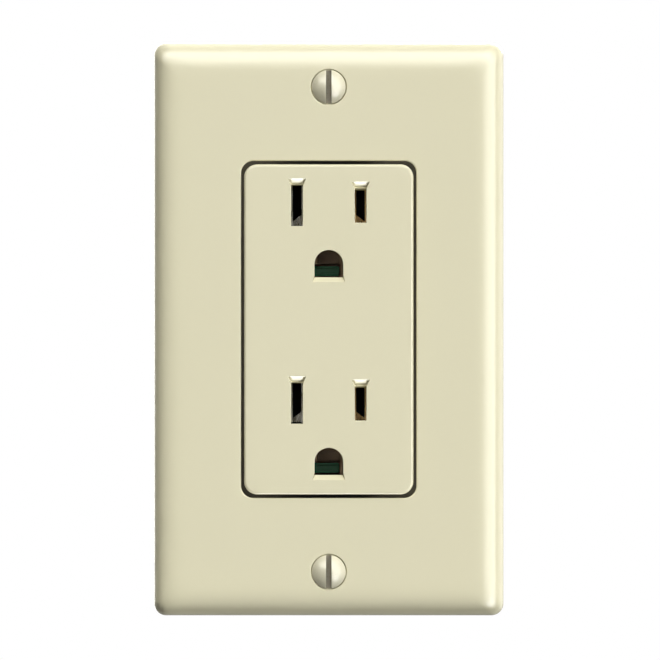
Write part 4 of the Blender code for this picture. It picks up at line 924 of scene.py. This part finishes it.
def make_world():
    """White behind the outlet to the camera; to the pieces, dim in front and brighter behind."""
    world = bpy.data.worlds.new("studio")
    bpy.context.scene.world = world
    world.use_nodes = True
    tree = world.node_tree
    tree.nodes.clear()
    output = tree.nodes.new("ShaderNodeOutputWorld")
    seen, around = (tree.nodes.new("ShaderNodeBackground") for _ in range(2))
    choose, path = tree.nodes.new("ShaderNodeMixShader"), tree.nodes.new("ShaderNodeLightPath")
    seen.inputs["Strength"].default_value = 1.0
    seen.inputs["Color"].default_value = (1, 1, 1, 1)
    around.inputs["Color"].default_value = (1.0, 0.985, 0.955, 1)
    ways = tree.nodes.new("ShaderNodeTexCoord")
    split, shade = tree.nodes.new("ShaderNodeSeparateXYZ"), tree.nodes.new("ShaderNodeMapRange")
    set_range(shade, -0.35, 0.35, 0.04, 0.50)
    shade.interpolation_type = "SMOOTHSTEP"
    tree.links.new(ways.outputs["Generated"], split.inputs[0])
    tree.links.new(split.outputs["Y"], shade.inputs["Value"])
    tree.links.new(shade.outputs["Result"], around.inputs["Strength"])
    tree.links.new(path.outputs["Is Camera Ray"], choose.inputs[0])
    tree.links.new(around.outputs[0], choose.inputs[1])
    tree.links.new(seen.outputs[0], choose.inputs[2])
    tree.links.new(choose.outputs[0], output.inputs[0])


def make_floor():
    """A pale floor far below, which takes no part in lighting the outlet."""
    bm = bmesh.new()
    bmesh.ops.create_circle(bm, cap_ends=True, segments=96, radius=FLOOR_RADIUS)
    bmesh.ops.translate(bm, vec=(0, 0, FLOOR_Z), verts=bm.verts)
    floor = object_from(bm, "floor")
    paint = Nodes("floor_paint", Roughness=0.9)
    shades = (0.84, 0.84, 0.83, 1), (0.88, 0.88, 0.87, 1)
    paint.set("Base Color", paint.mix(paint.noise(6.0, 2.0), *shades))
    floor.data.materials.append(paint.material)
    floor.visible_diffuse = False
    floor.visible_glossy = False
    floor.visible_shadow = False


def make_lamps(face, front, spacers):
    """Soft lamps: matt colour and highlights have their own, so that flat faces stay even.

    The sheens light only the pieces in front; two more reach into the face and the ground holes.
    """
    sun("key_top", (0.0, -0.515, 0.857), 0.86 * math.pi, 22, "colour")
    sun("key_right", (0.766, -0.643, 0.0), 0.735 * math.pi, 22, "colour", colour=(0.98, 1.0, 1.03))
    sun("sheen_top", (0.0, -0.86, 0.51), 2.8, 44, "gloss", front)
    sun("sheen_right", (0.545, -0.839, 0.0), 2.2, 42, "gloss", front)
    sun("sheen_corner", (0.45, -0.77, 0.45), 0.9, 34, "gloss", front)
    sun("sheen_low_corner", (0.45, -0.77, -0.45), 1.9, 26, "gloss", front)
    sun("sheen_left_corner", (-0.45, -0.77, 0.45), 1.0, 26, "gloss", front)
    sun("rim_top", (0.0, 0.30, 0.954), 0.8, 70, "gloss")
    sun("rim_right", (0.954, 0.30, 0.0), 1.8, 70, "gloss")
    sun("back", (0.35, 0.85, 0.45), 2.4, 40)
    sun("back_fill", (-0.3, 0.94, 0.1), 0.9, 40)
    sun("face_from_below", (0.0, -0.12, -0.99), 2.0, 12, only=[face])
    sun("into_openings", (0.05, -0.98, 0.2), 0.6, 30, only=spacers)


def make_camera():
    """A long lens square to the face, so that the plate's sides stay parallel."""
    scene = bpy.context.scene
    scene.view_settings.view_transform = "Standard"
    scene.view_settings.look = "None"
    camera = bpy.data.cameras.new("camera")
    camera.sensor_width = SENSOR_WIDTH
    camera.lens = FOCAL_LENGTH
    camera.clip_start, camera.clip_end = 0.05, 20.0
    view = bpy.data.objects.new("camera", camera)
    scene.collection.objects.link(view)
    view.location = CAMERA_PLACE
    view.rotation_euler = (math.pi / 2, 0, 0)
    scene.camera = view


# ---------------------------------------------------------------- the outlet


face_piece = make_face()
front_pieces = [make_wallplate(), face_piece]
make_back_body()
spacer_pieces = make_metalwork()
for end_name, end_sign in ENDS.items():
    front_pieces.append(make_plate_screw(end_name, end_sign))
    make_mounting_screw(end_name, end_sign)
    for side_name, side_sign in TERMINALS.items():
        make_terminal_screw(side_name, side_sign, end_name, end_sign)
make_ground_screw()
make_world()
make_floor()
make_lamps(face_piece, front_pieces, spacer_pieces)
make_camera()
